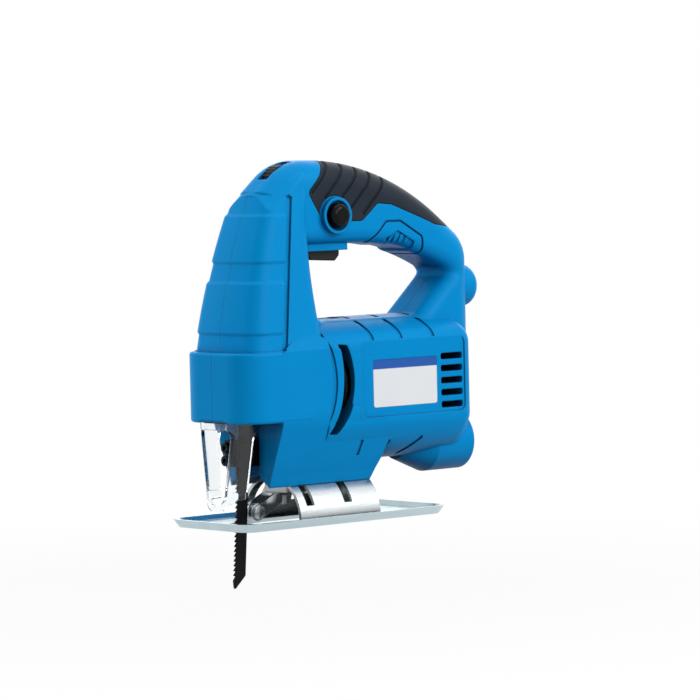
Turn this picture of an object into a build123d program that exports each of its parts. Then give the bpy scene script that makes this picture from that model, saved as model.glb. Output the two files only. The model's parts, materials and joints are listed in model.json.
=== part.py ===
from build123d import *
import math
import os

os.makedirs("parts", exist_ok=True)

# A corded jigsaw with a D-handle, in millimetres.
# +X runs to the rear, +Y to the tool's right, +Z up.
# The origin is where the blade's line crosses the underside of the sole.

# Clearances
RUN = 0.05  # radial running fit of a shaft in its bush
PLAY = 0.3  # between faces that pass each other
SEAT = 0.1  # round a piece that is seated in a moulded pocket
SEAM = 0.3  # between the soft grip and the housing round it
OVER = 1.0  # how far a cut reaches past the face it opens

# Sole and its tilting saddle
SOLE_LENGTH = 142.0
SOLE_WIDTH = 63.0
SOLE_FRONT = -21.5
SOLE_THICK = 2.0
SOLE_RIM = 4.6
SOLE_CORNER = 8.0
SOLE_BEND = 1.0
SOLE_FLARE = 36.0  # degrees, the rim leans outward
BLADE_SLOT_HALF = 4.5
BLADE_SLOT_FRONT = -15.0
ROLLER_WINDOW_HALF = 10.5
ROLLER_WINDOW_FRONT = 2.0
SCREW_WINDOW_HALF = 12.0
TILT_Z = SOLE_THICK  # height of the fore-and-aft tilt line
SADDLE_R = 25.0
SADDLE_THICK = 2.0
SADDLE_FRONT = 22.0
SADDLE_LENGTH = 57.0
SADDLE_SLOT_WIDTH = 5.8
SADDLE_SLOT_SWEEP = 70.0  # degrees each way from upright
SADDLE_SCREW_X = (30.0, 57.0)
SADDLE_SCREW_R = 2.5
SADDLE_SCREW_LONG = 18.5
SADDLE_HEAD_R = 4.25
SADDLE_HEAD_HIGH = 5.0
SADDLE_HEX = 5.0
CLAMP_FLAT_Z = 17.0
CLAMP_HALF = 9.0
CLAMP_END = 5.0
FORK_THICK = 1.5

# Blade, its guide roller, clamp and plunger
BLADE_WIDE = 8.0
BLADE_THICK = 1.2
BLADE_BACK = 3.8
BLADE_TIP = -33.0
BLADE_TOP = 45.0
BLADE_LEAN = 4.0  # degrees, the tip stands forward
TOOTH_PITCH = 2.6
TOOTH_DEEP = 1.5
TOOTH_COUNT = 21
TOOTH_FIRST = 26.0
ROLLER_R = 4.8
ROLLER_HALF = 3.6
ROLLER_Z = 7.5
ROLLER_GAP = 1.0
ROLLER_GROOVE = 0.9
ROLLER_PIN_R = 1.8
STROKE = 18.0
PLUNGER_X = 4.5
PLUNGER_R = 4.0
PLUNGER_TOP = 126.0
CLAMP_BLOCK_TOP = 47.0
CLAMP_BLOCK_HIGH = 14.0
CLAMP_BLOCK_FRONT = -6.0
CLAMP_BLOCK_REAR = 10.5
CLAMP_BLOCK_HALF = 6.5
CLAMP_HEAD_R = 2.8
CLAMP_HEAD_LONG = 4.5
CLAMP_HEAD_PITCH = 7.0
BLADE_CLEAR = 2.0  # room round the clamp in the skirt
BUSH_WALL = 3.0
BUSH_LOW_Z = 59.5
BUSH_LOW_HIGH = 10.0
BUSH_TOP_HIGH = 6.0

# Clear chip guard
GUARD_FRONT = -17.3
GUARD_TOP_HALF = 16.5
GUARD_LOW_HALF = 10.5
GUARD_CORNER = 7.5
GUARD_WALL = 2.0
GUARD_TENON = 2.0
GUARD_TONGUE_Z = 9.0
GUARD_TONGUE_R = 11.0
GUARD_SIDE_Z = 20.0
GUARD_REAR_LOW = -5.0
GUARD_REAR_MID = -2.5
GUARD_REAR_HIGH = 6.5
GUARD_FLARE_Z = 46.0
GUARD_RIM = 3.5
GUARD_BOW = (0.3, 0.7)  # where the flare passes, as shares of its run and rise

# Gear case and skirt, the lower half of the head
CASE_FRONT = -17.5
CASE_HALF = 30.0
HEAD_BOTTOM = 57.0
SHOULDER_Z = 95.0
CASE_X = 28.0
CASE_R = 28.0
CASE_CORNER = 17.0
CASE_CREST_HALF = 28.0
CASE_ROUND = 1.6
SKIRT_FRONT = 7.0
SKIRT_REAR = 79.0
SKIRT_RAKE = 13.0
SKIRT_FOOT_HALF = 16.4
SKIRT_FOOT_Z = 21.0
SKIRT_WAIST_HALF = 18.2
SKIRT_WAIST_Z = 27.0
SKIRT_TOP = 51.0
SKIRT_BLEND = 25.0

# Motor barrel
MOTOR_Z = 75.0
BARREL_FRONT = 40.0
BARREL_REAR = 148.5
BARREL_HALF = 29.0
BARREL_TOP = 110.5
BARREL_BOTTOM = 31.0
BARREL_EAVES = 99.0
BARREL_SILL = 53.0
BARREL_EDGE = 12.0
BARREL_END = 9.0

# Head tower
TOWER_FRONT_LOW = -12.7
TOWER_FRONT_HIGH = 11.0
TOWER_HALF_LOW = 29.0
TOWER_HALF_HIGH = 18.5
TOWER_REAR_LOW = 43.0
TOWER_REAR_HIGH = 39.0
TOWER_TOP = 181.0
TOWER_BULGE = 3.0
TOWER_SWELL = 3.2  # how far it bows forward at mid-height
TOWER_CORNER = 11.0
TOWER_CAP = 3.0
TOWER_UPWARD = 0.5  # least rise of the normal of a face that counts as top
CROWN_R = 26.0  # arch of its top from side to side
CROWN_HALF = 21.0

# Handle
HANDLE_TOP = 197.0
HANDLE_CREST_X = 45.0
HANDLE_CREST_R = 156.0
HANDLE_CREST_SWEEP = 37.5
HANDLE_NOSE_R = 35.0
HANDLE_NOSE_SWEEP = 40.0
HANDLE_NOSE_RUN = 13.0
HANDLE_TAIL = 14.0
HANDLE_TAIL_R = 22.0
HANDLE_HALF = 17.5
HANDLE_EDGE = 13.0
HOLE_EDGE = 8.0
HOLE_FRONT = 40.0
HOLE_FLOOR = 109.5
HOLE_FOOT_X = 119.0
HOLE_PEAK = (145.0, 133.0)
HOLE_ROOF = 151.0
HOLE_ROOF_X = 75.0
HOLE_FRONT_LOW = 46.0
HOLE_CORNER = 8.0
HOLE_PEAK_CORNER = 4.0
LIP_REAR = 70.5
LIP_LOW = 147.5
LIP_HALF = 12.0

# Dust port and cord boss
PORT_Z = 37.5
PORT_R = 16.5
PORT_REAR = 158.0
PORT_FRONT = 132.0
PORT_CONE = 20.0
PORT_CONE_STEP = 8.0
PORT_BORE_R = 13.0
PORT_LINER = 1.5
DUST_DUCT_R = 5.5
DUST_DUCT_Z = 42.0
BOSS_Z = 124.0
BOSS_R = 12.0
BOSS_REAR = 170.0
BOSS_LONG = 18.0
BOSS_ROUND = 6.0
CORD_R = 4.0
CORD_BUSH_WALL = 1.6
CORD_BUSH_LONG = 13.0
CORD_BUSH_LIP = 1.0

# Outer details of the mouldings
BAND_DEEP = 0.9
BAND_SLOPE = 2.0
BANDS = ((95.5, 104.0), (133.0, 142.0), (169.0, 178.0))
GROOVE_FOOT = (10.0, 95.5)
GROOVE_HEAD = (24.0, 178.0)
GROOVE_WIDE = 3.2
GROOVE_DEEP = 1.3
PANEL_DEEP = 0.8
PANEL = (64.0, 56.0, 140.5, 98.0)  # front, bottom, rear, top
PANEL_CORNER = 4.0
LABEL = (73.0, 61.0, 120.0, 87.0)
LABEL_THICK = 0.6
LABEL_CORNER = 1.5
VENT_X = (123.0, 139.0)
VENT_FIRST = 59.8
VENT_PITCH = 6.7
VENT_HIGH = 3.6
VENT_COUNT = 5
VENT_INNER = 14.0
CRESCENT_FRONT = ((47.6, 97.0), (50.3, 76.5), (40.9, 48.4))
CRESCENT_REAR = ((54.0, 96.4), (58.8, 76.1), (46.8, 48.0))
CRESCENT_INNER = 11.0
ROOF_GROOVE_X = (73.0, 94.0, 117.5)
ROOF_GROOVE_WIDE = 2.8
ROOF_GROOVE_DEEP = 0.9
KEEL_GROOVES = (
    ((65.7, 35.5), (66.9, 43.8)),
    ((85.8, 35.5), (87.9, 42.4)),
    ((102.4, 33.6), (111.9, 43.0)),
)  # foot and head of each
KEEL_GROOVE_WIDE = 2.2
SCOOP_DEEP = 1.0
SCOOP_TIPS = ((39.6, 100.0), (39.0, 53.5))
SCOOP_X = (42.0, 45.8)
GRIP_DEEP = 2.0
GRIP_OUTLINE = (
    (56.5, 205.0),
    (52.0, 194.0),
    (47.5, 188.3),
    (38.5, 179.5),
    (49.0, 163.3),
    (77.0, 163.3),
    (88.5, 172.6),
    (98.5, 171.7),
    (123.5, 162.6),
    (131.0, 159.7),
    (145.0, 157.8),
    (158.0, 205.0),
)
GRIP_ROUND = 3.0
RIB_CREST_X = 57.5
RIB_CREST_Z = 196.4
RIB_PITCH = 9.2
RIB_COUNT = 5
RIB_DROP = 17.0
RIB_WIDE = 2.4
RIB_DEEP = 1.4
PAD_OUTLINE = ((79.0, 147.0), (94.0, 162.8), (105.0, 162.8), (121.2, 153.6), (123.0, 144.5), (112.0, 133.0))
PAD_LINE = 1.2
PAD_INNER = ((95.0, 153.0), (103.0, 157.0), (115.6, 150.5), (116.0, 143.5), (107.0, 141.5))
PAD_ROUND = 3.0
PAD_DEEP = 1.0

# Controls
LOCK_X = 57.0
LOCK_Z = 166.6
LOCK_BOSS_R = 10.0
LOCK_BOSS_Y = 20.5
LOCK_R = 6.6
LOCK_FACE_Y = 21.5
LOCK_DOME = 3.2
LOCK_FOOT_Y = 14.0
LOCK_TRAVEL = 3.0
LOCK_RECESS_R = 8.3
LOCK_COLLAR = 0.8
LOCK_RECESS = 2.0
LOCK_STEM_R = 2.2
LOCK_STEM_Y = 10.6
TRIGGER_FRONT = 46.0
TRIGGER_REAR = 69.5
TRIGGER_HALF = 6.5
TRIGGER_LOW = 141.5
TRIGGER_TOP = 160.0
TRIGGER_ROUND = 3.0
TRIGGER_TRAVEL = 6.0
SWITCH_FRONT = 48.0
SWITCH_REAR = 84.0
SWITCH_HALF = 10.0
SWITCH_LOW = LOCK_Z + LOCK_STEM_R + PLAY  # clear of the lock button's stem
SWITCH_TOP = 186.0
MODULE_FRONT = 19.0
MODULE_REAR = 36.0
MODULE_HALF = 12.0
MODULE_LOW = 150.0
MODULE_TOP = 166.0
DIAL_X = 33.7
DIAL_Z = 183.8
DIAL_R = 11.0
DIAL_HALF = 3.8
DIAL_NOTCH_R = 0.7
DIAL_NOTCHES = 30
DIAL_AXLE_R = 2.0
DIAL_AXLE_HALF = 7.0
DIAL_SLOT_LONG = 20.5
DIAL_SLOT_X = 29.0
DIAL_SLOT_DEEP = 2.6

# Motor and gears
WALL = 3.0
SHAFT_R = 4.0
SHAFT_TAIL_R = 3.5
SHAFT_FRONT = 24.5
REAR_BEARING = (140.5, 146.5, 9.5)  # front, rear, outer radius
FRONT_BEARING = (38.0, 45.0, 11.0)
CORE = (70.0, 106.0)
CORE_R = 15.5
CORE_SLOTS = 12
CORE_SLOT_WIDE = 1.6
CORE_SLOT_DEEP = 1.0
FIELD_R = 26.0
FIELD_BORE_R = 16.2
COIL_OUT = 23.5
COIL_IN = 17.0
COIL_FRONT = 61.0
COIL_REAR = 116.0
COIL_SWEEP = 120.0
WINDING_R = 14.5
WINDING_FRONT = 60.0
WINDING_REAR = 118.0
COMMUTATOR = (121.0, 136.0, 11.0)
COMMUTATOR_BARS = 12
FAN = (47.5, 58.0, 24.0)
FAN_HUB_R = 9.0
FAN_PLATE = 1.6
FAN_BLADES = 11
FAN_BLADE_THICK = 1.4
FAN_ROOM = (46.0, 59.0, 26.0)
FRONT_ROOM_R = 25.0
COIL_ROOM = (118.0, 24.0)
REAR_ROOM = (139.5, 22.0)
BRUSH_X = 127.5
BRUSH_HALF = (3.2, 2.6)
BRUSH_LONG = 9.0
HOLDER_HALF = (5.0, 4.4)
HOLDER_FOOT = 12.5
HOLDER_TOP = 21.4
MODULE = 1.0
PRESSURE = math.radians(20)
PINION_TEETH = 8
PINION_THICK = 1.81
PINION_ROOT = 3.15
PINION_TIP = 5.35
PINION_BORE = 2.4
PINION_REAR = 35.0
GEAR_TEETH = 40
GEAR_THICK = 1.087
GEAR_ROOT = 18.25
GEAR_TIP = 20.4
GEAR_FRONT = 26.0
GEAR_REAR = 33.0
GEAR_CLEAR = 1.2  # between what turns or strokes and the room round it
GEAR_Z = MOTOR_Z + MODULE * (PINION_TEETH + GEAR_TEETH) / 2
FLANK_STEPS = 5
AXLE_R = 4.0
AXLE_FRONT = 25.0
AXLE_HEAD = 1.5
PLATE_FRONT = 36.5
PLATE_REAR = 42.0
PLATE_R = 22.0
PLATE_LUG_R = 8.0
HUB_R = 13.5
CRANK_R = STROKE / 2
CRANK_PIN_R = 3.0
CRANK_ROLLER_R = 5.0
YOKE_FRONT = PLUNGER_X
YOKE_REAR = 20.5
YOKE_HALF = 17.0
YOKE_RISE = 7.2
YOKE_SLOT_HALF = 14.3
ROLLER_FRONT = 11.0
ROLLER_REAR = 21.0

# Housing screws, driven from the right
SCREW_R = 1.5
SCREW_HEAD_R = 2.8
SCREW_HEAD = 2.2
SCREW_SEAT_Y = 9.0
SCREW_LONG = 18.0
SCREW_SPOTS = (
    (12.0, 150.0),
    (-9.5, 78.0),
    (72.0, 31.0),
    (66.0, 105.5),
    (132.0, 104.5),
    (151.0, 142.0),
    (129.0, 151.0),
    (98.0, 164.0),
)
BOSS_WALL = 3.0

# Places that follow from the sizes above
BUSH_R = PLUNGER_R + BUSH_WALL
BUSH_TOP_Z = GEAR_Z + YOKE_RISE + STROKE / 2 + PLAY
ROOM_TOP = PLUNGER_TOP + STROKE / 2 + GEAR_CLEAR
ROOM_BOTTOM = HEAD_BOTTOM + WALL
LEAN = math.tan(math.radians(BLADE_LEAN))
ROLLER_X = BLADE_BACK + ROLLER_Z * LEAN + ROLLER_GAP + ROLLER_R - ROLLER_GROOVE
BIG = 400.0


def rod_x(radius, x_from, x_to, z, y=0):
    """Round bar along the tool."""
    with BuildPart() as rod:
        with BuildSketch(Plane.YZ.offset(x_from)):
            with Locations((y, z)):
                Circle(radius)
        extrude(amount=x_to - x_from)
    return rod.part


def rod_y(radius, x, z, y_from, y_to):
    """Round bar across the tool."""
    with BuildPart() as rod:
        with BuildSketch(Plane.XZ.offset(-y_to)):
            with Locations((x, z)):
                Circle(radius)
        extrude(amount=y_to - y_from)
    return rod.part


def rod_z(radius, x, y, z_from, z_to):
    """Upright round bar."""
    with BuildPart() as rod:
        with BuildSketch(Plane.XY.offset(z_from)):
            with Locations((x, y)):
                Circle(radius)
        extrude(amount=z_to - z_from)
    return rod.part


def ring_x(outer, inner, x_from, x_to):
    """Tube on the motor's line."""
    with BuildPart() as ring:
        with BuildSketch(Plane.YZ.offset(x_from)):
            with Locations((0, MOTOR_Z)):
                Circle(outer)
                Circle(inner, mode=Mode.SUBTRACT)
        extrude(amount=x_to - x_from)
    return ring.part


def block(x_from, x_to, half, z_from, z_to):
    """Rectangular block centred on the mid-plane."""
    with BuildPart() as box:
        with Locations(((x_from + x_to) / 2, 0, (z_from + z_to) / 2)):
            Box(x_to - x_from, 2 * half, z_to - z_from)
    return box.part


def side_prism(points, corner, y_from, y_to):
    """Side outline with rounded corners, carried across the tool."""
    with BuildPart() as prism:
        with BuildSketch(Plane.XZ.offset(-y_to)):
            with BuildLine():
                Polyline(*points, close=True)
            make_face()
            if corner > 0:
                fillet(vertices(), corner)
        extrude(amount=y_to - y_from)
    return prism.part


def frame_prism(edges, corner, y_from, y_to):
    """Rectangle in the side view, given as front, bottom, rear and top."""
    front, bottom, rear, top = edges
    corners = ((front, bottom), (rear, bottom), (rear, top), (front, top))
    return side_prism(corners, corner, y_from, y_to)


def head_block(inset):
    """Front of the gear case, with rounded front corners and rims."""
    with BuildPart() as head:
        add(
            block(
                CASE_FRONT + inset, CASE_X, CASE_HALF - inset, HEAD_BOTTOM + inset, SHOULDER_Z - inset
            )
        )
        fillet(head.edges().filter_by(Axis.Z).group_by(Axis.X)[0], CASE_CORNER - inset)
        rims = head.edges().filter_by(lambda edge: edge.center().X < CASE_X - RUN)
        fillet(rims.group_by(Axis.Z)[0] + rims.group_by(Axis.Z)[-1], CASE_ROUND)
    return head.part


def lower_body(inset):
    """Gear case and skirt: a side outline crossed with a front outline."""
    with BuildPart() as body:
        with BuildSketch(Plane.XZ):
            with Locations((CASE_X, MOTOR_Z)):
                Circle(CASE_R - inset)
            with BuildLine():
                Polyline(
                    (SKIRT_FRONT + inset, MOTOR_Z),
                    (SKIRT_FRONT + inset, TILT_Z),
                    (SKIRT_REAR - inset, TILT_Z),
                    (SKIRT_REAR - inset, SKIRT_FOOT_Z),
                    (SKIRT_REAR + SKIRT_RAKE - inset, SKIRT_TOP),
                    (CASE_X, MOTOR_Z),
                    close=True,
                )
            make_face()
        extrude(amount=CASE_HALF - inset, both=True)
        with BuildSketch(Plane.YZ):
            with BuildLine():
                Polyline(
                    (0, TILT_Z),
                    (SKIRT_FOOT_HALF - inset, TILT_Z),
                    (SKIRT_FOOT_HALF - inset, SKIRT_FOOT_Z),
                    (SKIRT_WAIST_HALF - inset, SKIRT_WAIST_Z),
                    (CASE_HALF - inset, HEAD_BOTTOM),
                    (CASE_HALF - inset, SHOULDER_Z),
                    (CASE_CREST_HALF - inset, CASE_R + MOTOR_Z),
                    (0, CASE_R + MOTOR_Z),
                    close=True,
                )
            make_face()
            fillet(vertices().group_by(Axis.X)[-1].sort_by(Axis.Y)[0], SKIRT_BLEND)
            mirror(about=Plane.YZ)
        extrude(amount=SKIRT_REAR + 2 * SKIRT_RAKE, mode=Mode.INTERSECT)
        add(head_block(inset))
        add(
            rod_x(SADDLE_R + PLAY + inset, CASE_FRONT, SKIRT_REAR + 2 * SKIRT_RAKE, TILT_Z),
            mode=Mode.SUBTRACT,
        )
    return body.part


def tower_section(level, front, rear, half):
    """Rounded section of the tower at one height, with a bowed front."""
    with BuildSketch(Plane.XY.offset(level)) as section:
        with BuildLine():
            bow = TOWER_BULGE * half / TOWER_HALF_LOW
            ThreePointArc((front + bow, -half), (front, 0), (front + bow, half))
            Polyline((front + bow, half), (rear, half), (rear, -half), (front + bow, -half))
        make_face()
        fillet(vertices(), TOWER_CORNER * half / TOWER_HALF_LOW)
    return section.sketch


def crown(inset):
    """Space under the arched brow and nose of the head."""
    turn = math.radians(HANDLE_NOSE_SWEEP)
    pivot = Vector(HANDLE_CREST_X, 0, HANDLE_TOP - HANDLE_NOSE_R)
    along = Vector(-math.cos(turn), 0, -math.sin(turn))
    top = HANDLE_NOSE_R - inset
    arch = CROWN_R - inset
    half = CROWN_HALF - inset
    side = top - arch + math.sqrt(arch**2 - half**2)
    with BuildSketch(Plane(origin=pivot, x_dir=(0, -1, 0), z_dir=along)) as section:
        with BuildLine():
            ThreePointArc((-half, side), (0, top), (half, side))
            Polyline(
                (half, side),
                (CASE_HALF, side),
                (CASE_HALF, 0),
                (-CASE_HALF, 0),
                (-CASE_HALF, side),
                (-half, side),
            )
        make_face()
    run = HANDLE_TOP - SHOULDER_Z
    low = pivot + run * along
    below = ((pivot.X, MOTOR_Z), (pivot.X, pivot.Z + OVER), (low.X, low.Z + OVER), (low.X, MOTOR_Z))
    with BuildPart() as space:
        extrude(section.sketch, amount=run)
        revolve(section.sketch, axis=Axis(pivot, (0, 1, 0)))
        add(side_prism(below, 0, -CASE_HALF, CASE_HALF))
    return space.part


def tower_at(level, inset):
    """Section of the tower at one height, along its lean, its taper and its forward bow."""
    rise = (level - SHOULDER_Z) / (TOWER_TOP - SHOULDER_Z)
    swell = TOWER_SWELL * 4 * rise * (1 - rise)
    front = TOWER_FRONT_LOW + rise * (TOWER_FRONT_HIGH - TOWER_FRONT_LOW) - swell
    rear = TOWER_REAR_LOW + rise * (TOWER_REAR_HIGH - TOWER_REAR_LOW) - swell
    half = TOWER_HALF_LOW + rise * (TOWER_HALF_HIGH - TOWER_HALF_LOW)
    return tower_section(level, front + inset, rear - inset, half - inset)


def tower(inset):
    """Head above the gear case: leans back, narrows upward and ends under the handle's brow."""
    with BuildPart() as body:
        middle = (SHOULDER_Z + TOWER_TOP) / 2
        loft([tower_at(level, inset) for level in (SHOULDER_Z - OVER - inset, middle, HANDLE_TOP)])
        add(crown(inset), mode=Mode.INTERSECT)
        if inset < TOWER_CAP:
            tops = body.faces().filter_by(lambda face: face.normal_at().Z > TOWER_UPWARD)
            rims = tops.edges().filter_by(GeomType.BSPLINE)
            fillet(rims.filter_by(lambda edge: edge.center().X < HANDLE_CREST_X - WALL), TOWER_CAP - inset)
    return body.part


def waist(low, high):
    """Tower drawn in at one band, with sloped edges above and below."""
    with BuildPart() as body:
        loft(
            [
                tower_at(low - BAND_SLOPE, -PLAY),
                tower_at(low, BAND_DEEP),
                tower_at(high, BAND_DEEP),
                tower_at(high + BAND_SLOPE, -PLAY),
            ],
            ruled=True,
        )
    return body.part


def barrel(inset):
    """Motor barrel: flat flanks under a low roof, over a rounded keel."""
    half = BARREL_HALF - inset
    with BuildPart() as body:
        with BuildSketch(Plane.YZ.offset(BARREL_FRONT)):
            with BuildLine():
                ThreePointArc((-half, BARREL_EAVES), (0, BARREL_TOP - inset), (half, BARREL_EAVES))
                Line((half, BARREL_EAVES), (half, BARREL_SILL))
                ThreePointArc((half, BARREL_SILL), (0, BARREL_BOTTOM + inset), (-half, BARREL_SILL))
                Line((-half, BARREL_SILL), (-half, BARREL_EAVES))
            make_face()
            fillet(vertices(), BARREL_EDGE - inset)
        extrude(amount=BARREL_REAR - inset - BARREL_FRONT)
        fillet(body.faces().sort_by(Axis.X)[-1].edges(), BARREL_END - inset)
    return body.part


def hand_hole(inset):
    """Side outline of the hand hole."""
    peak = (HOLE_PEAK[0] + inset, HOLE_PEAK[1] + inset)
    roof = (HOLE_ROOF_X, HOLE_ROOF + inset)
    with BuildSketch(Plane.XZ) as hole:
        with BuildLine():
            Polyline(
                roof,
                (HOLE_FRONT - inset, HOLE_ROOF + inset),
                (HOLE_FRONT_LOW - inset, HOLE_FLOOR - inset),
                (HOLE_FOOT_X, HOLE_FLOOR - inset),
                peak,
            )
            TangentArc(roof, peak, tangent=(1, 0))
        make_face()
        fillet(vertices().sort_by(Axis.Y)[2], HOLE_PEAK_CORNER)
        fillet(vertices().sort_by(Axis.Y)[:2], HOLE_CORNER)
    return hole.sketch


def handle(inset):
    """D-handle: a thick plate with a rounded crest and a rounded hand hole."""
    turn = math.radians(HANDLE_NOSE_SWEEP)
    nose_r = HANDLE_NOSE_R - inset
    nose_start = (
        HANDLE_CREST_X - nose_r * math.sin(turn),
        HANDLE_TOP - inset - nose_r * (1 - math.cos(turn)),
    )
    with BuildPart() as body:
        with BuildSketch(Plane.XZ):
            with BuildLine():
                nose = JernArc(nose_start, (math.cos(turn), math.sin(turn)), nose_r, -HANDLE_NOSE_SWEEP)
                crest = JernArc(nose @ 1, nose % 1, HANDLE_CREST_R - inset, -HANDLE_CREST_SWEEP)
                tail = Line(crest @ 1, crest @ 1 + HANDLE_TAIL * (crest % 1))
                heel = JernArc(tail @ 1, tail % 1, HANDLE_TAIL_R - inset, HANDLE_CREST_SWEEP - 90)
                brow = Line(nose @ 0, nose @ 0 - HANDLE_NOSE_RUN * (nose % 0))
                Polyline(
                    heel @ 1,
                    ((heel @ 1).X, MOTOR_Z),
                    (TOWER_REAR_LOW - TOWER_CORNER, MOTOR_Z),
                    brow @ 1,
                )
            make_face()
        extrude(amount=HANDLE_HALF - inset, both=True)
        rims = body.edges().filter_by(Axis.Y, reverse=True).filter_by(
            lambda edge: edge.center().Z > HOLE_FLOOR - HOLE_EDGE
            and edge.center().X > nose_start[0] - HANDLE_NOSE_RUN
        )
        fillet(rims, HANDLE_EDGE - inset)
        extrude(hand_hole(inset), amount=HANDLE_HALF, both=True, mode=Mode.SUBTRACT)
        hole_rims = body.edges().filter_by(
            lambda edge: HANDLE_HALF - inset - abs(edge.center().Y) < PLAY
            and HOLE_FRONT - OVER - inset < edge.center().X < HOLE_PEAK[0] + HOLE_CORNER
            and HOLE_FLOOR - OVER - inset < edge.center().Z < HOLE_ROOF + OVER + inset
        )
        fillet(hole_rims, HOLE_EDGE - inset)
    return body.part


def layer(outer, inner, region):
    """Part of a form's outer layer that lies in a region."""
    with BuildPart() as piece:
        add(outer)
        add(inner, mode=Mode.SUBTRACT)
        add(region, mode=Mode.INTERSECT)
    return piece.part


def gear_plate_outline(x, extra):
    """Pear-shaped outline that holds the motor's bearing and the gear's axle."""
    with BuildSketch(Plane.YZ.offset(x)) as outline:
        with Locations((0, MOTOR_Z)):
            Circle(PLATE_R + extra)
        with Locations((0, GEAR_Z)):
            Circle(PLATE_LUG_R + extra)
        make_hull()
    return outline.sketch


def involute(angle):
    return math.tan(angle) - angle


def gear_outline(x, z, teeth, thick, root, tip, start):
    """Involute gear outline on a plane across the tool."""
    pitch_r = MODULE * teeth / 2
    base_r = pitch_r * math.cos(PRESSURE)
    flank = []
    for step in range(FLANK_STEPS + 1):
        radius = root - RUN + (tip - root + RUN) * step / FLANK_STEPS
        roll = math.acos(base_r / max(radius, base_r))
        half = thick / (2 * pitch_r) + involute(PRESSURE) - involute(roll)
        flank.append((radius * math.cos(half), radius * math.sin(half)))
    tooth = [(u, -v) for u, v in flank] + flank[::-1]
    with BuildSketch(Plane.YZ.offset(x)) as outline:
        with Locations((0, z)):
            Circle(root)
            with PolarLocations(0, teeth, start_angle=start):
                Polygon(*tooth, align=None)
    return outline.sketch


def screw_tip(z):
    """Where a clamp screw ends, just short of the leaning blade's front edge."""
    return BLADE_BACK - BLADE_WIDE + (z - CLAMP_HEAD_R) * LEAN - RUN


def guard_body(inset):
    """Tapered U-shaped form of the chip guard, open to the rear."""
    with BuildPart() as body:
        for z, half in ((0, GUARD_LOW_HALF), (HEAD_BOTTOM + GUARD_TENON, GUARD_TOP_HALF)):
            with BuildSketch(Plane.XY.offset(z)):
                with BuildLine():
                    Polyline(
                        (GUARD_FRONT + inset, -half + inset),
                        (GUARD_REAR_HIGH + 2 * inset, -half + inset),
                        (GUARD_REAR_HIGH + 2 * inset, half - inset),
                        (GUARD_FRONT + inset, half - inset),
                        close=True,
                    )
                make_face()
                fillet(vertices().sort_by(Axis.X)[:2], GUARD_CORNER - inset)
        loft()
    return body.part


# Outer form of the housing
tower_form = tower(0)
barrel_form = barrel(0)
handle_form = handle(0)
with BuildPart() as shell:
    add(lower_body(0))
    add(tower_form)
    add(barrel_form)
    add(handle_form)
    add(block(HOLE_FRONT - WALL, LIP_REAR, LIP_HALF, LIP_LOW, HOLE_ROOF + WALL))
    with Locations((PORT_FRONT - PORT_CONE, 0, PORT_Z)):
        Cone(
            PORT_R - PORT_CONE_STEP,
            PORT_R,
            PORT_CONE,
            rotation=(0, 90, 0),
            align=(Align.CENTER, Align.CENTER, Align.MIN),
        )
    add(rod_x(PORT_R, PORT_FRONT, PORT_REAR, PORT_Z))
    add(rod_x(BOSS_R, BOSS_REAR - BOSS_LONG, BOSS_REAR, BOSS_Z))
    fillet(shell.edges().filter_by(GeomType.CIRCLE).sort_by(Axis.X)[-1], BOSS_ROUND)
    add(rod_y(LOCK_BOSS_R, LOCK_X, LOCK_Z, -LOCK_BOSS_Y, 0))

# Chip guard: the U form cut to its side outline, with a rounded tongue and window in front
with BuildPart() as blade_guard:
    add(guard_body(0))
    add(guard_body(GUARD_WALL), mode=Mode.SUBTRACT)
    with BuildSketch(Plane.XZ):
        with BuildLine():
            Polyline(
                (GUARD_REAR_HIGH, HEAD_BOTTOM - OVER),
                (GUARD_REAR_HIGH, HEAD_BOTTOM + GUARD_TENON),
                (GUARD_FRONT, HEAD_BOTTOM + GUARD_TENON),
                (GUARD_FRONT, 0),
                (GUARD_REAR_LOW, 0),
                (GUARD_REAR_LOW, GUARD_SIDE_Z),
                (GUARD_REAR_MID, GUARD_FLARE_Z),
            )
            flare = (GUARD_REAR_HIGH - GUARD_REAR_MID, HEAD_BOTTOM - OVER - GUARD_FLARE_Z)
            ThreePointArc(
                (GUARD_REAR_MID, GUARD_FLARE_Z),
                (GUARD_REAR_MID + GUARD_BOW[0] * flare[0], GUARD_FLARE_Z + GUARD_BOW[1] * flare[1]),
                (GUARD_REAR_HIGH, HEAD_BOTTOM - OVER),
            )
        make_face()
    extrude(amount=GUARD_TOP_HALF, both=True, mode=Mode.INTERSECT)
    with BuildSketch(Plane.YZ.offset(GUARD_FRONT)):
        with Locations((0, GUARD_TONGUE_Z + GUARD_TONGUE_R)):
            Circle(GUARD_TONGUE_R)
        with BuildLine():
            Polyline(
                (-GUARD_TOP_HALF, GUARD_SIDE_Z),
                (GUARD_TOP_HALF, GUARD_SIDE_Z),
                (GUARD_TOP_HALF, HEAD_BOTTOM + GUARD_TENON),
                (-GUARD_TOP_HALF, HEAD_BOTTOM + GUARD_TENON),
                close=True,
            )
        make_face()
    extrude(amount=GUARD_REAR_HIGH - GUARD_FRONT, mode=Mode.INTERSECT)
    with BuildSketch(Plane.YZ.offset(GUARD_FRONT)):
        with BuildLine():
            low_half = GUARD_TONGUE_R - GUARD_RIM
            high_half = GUARD_TOP_HALF - GUARD_RIM
            Polyline(
                (-low_half, GUARD_SIDE_Z),
                (-high_half, HEAD_BOTTOM - GUARD_RIM),
                (high_half, HEAD_BOTTOM - GUARD_RIM),
                (low_half, GUARD_SIDE_Z),
            )
            ThreePointArc(
                (low_half, GUARD_SIDE_Z), (0, GUARD_TONGUE_Z + GUARD_RIM), (-low_half, GUARD_SIDE_Z)
            )
        make_face()
        fillet(vertices().sort_by(Axis.Y)[-2:], GUARD_RIM)
    extrude(amount=GUARD_CORNER, mode=Mode.SUBTRACT)

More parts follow.
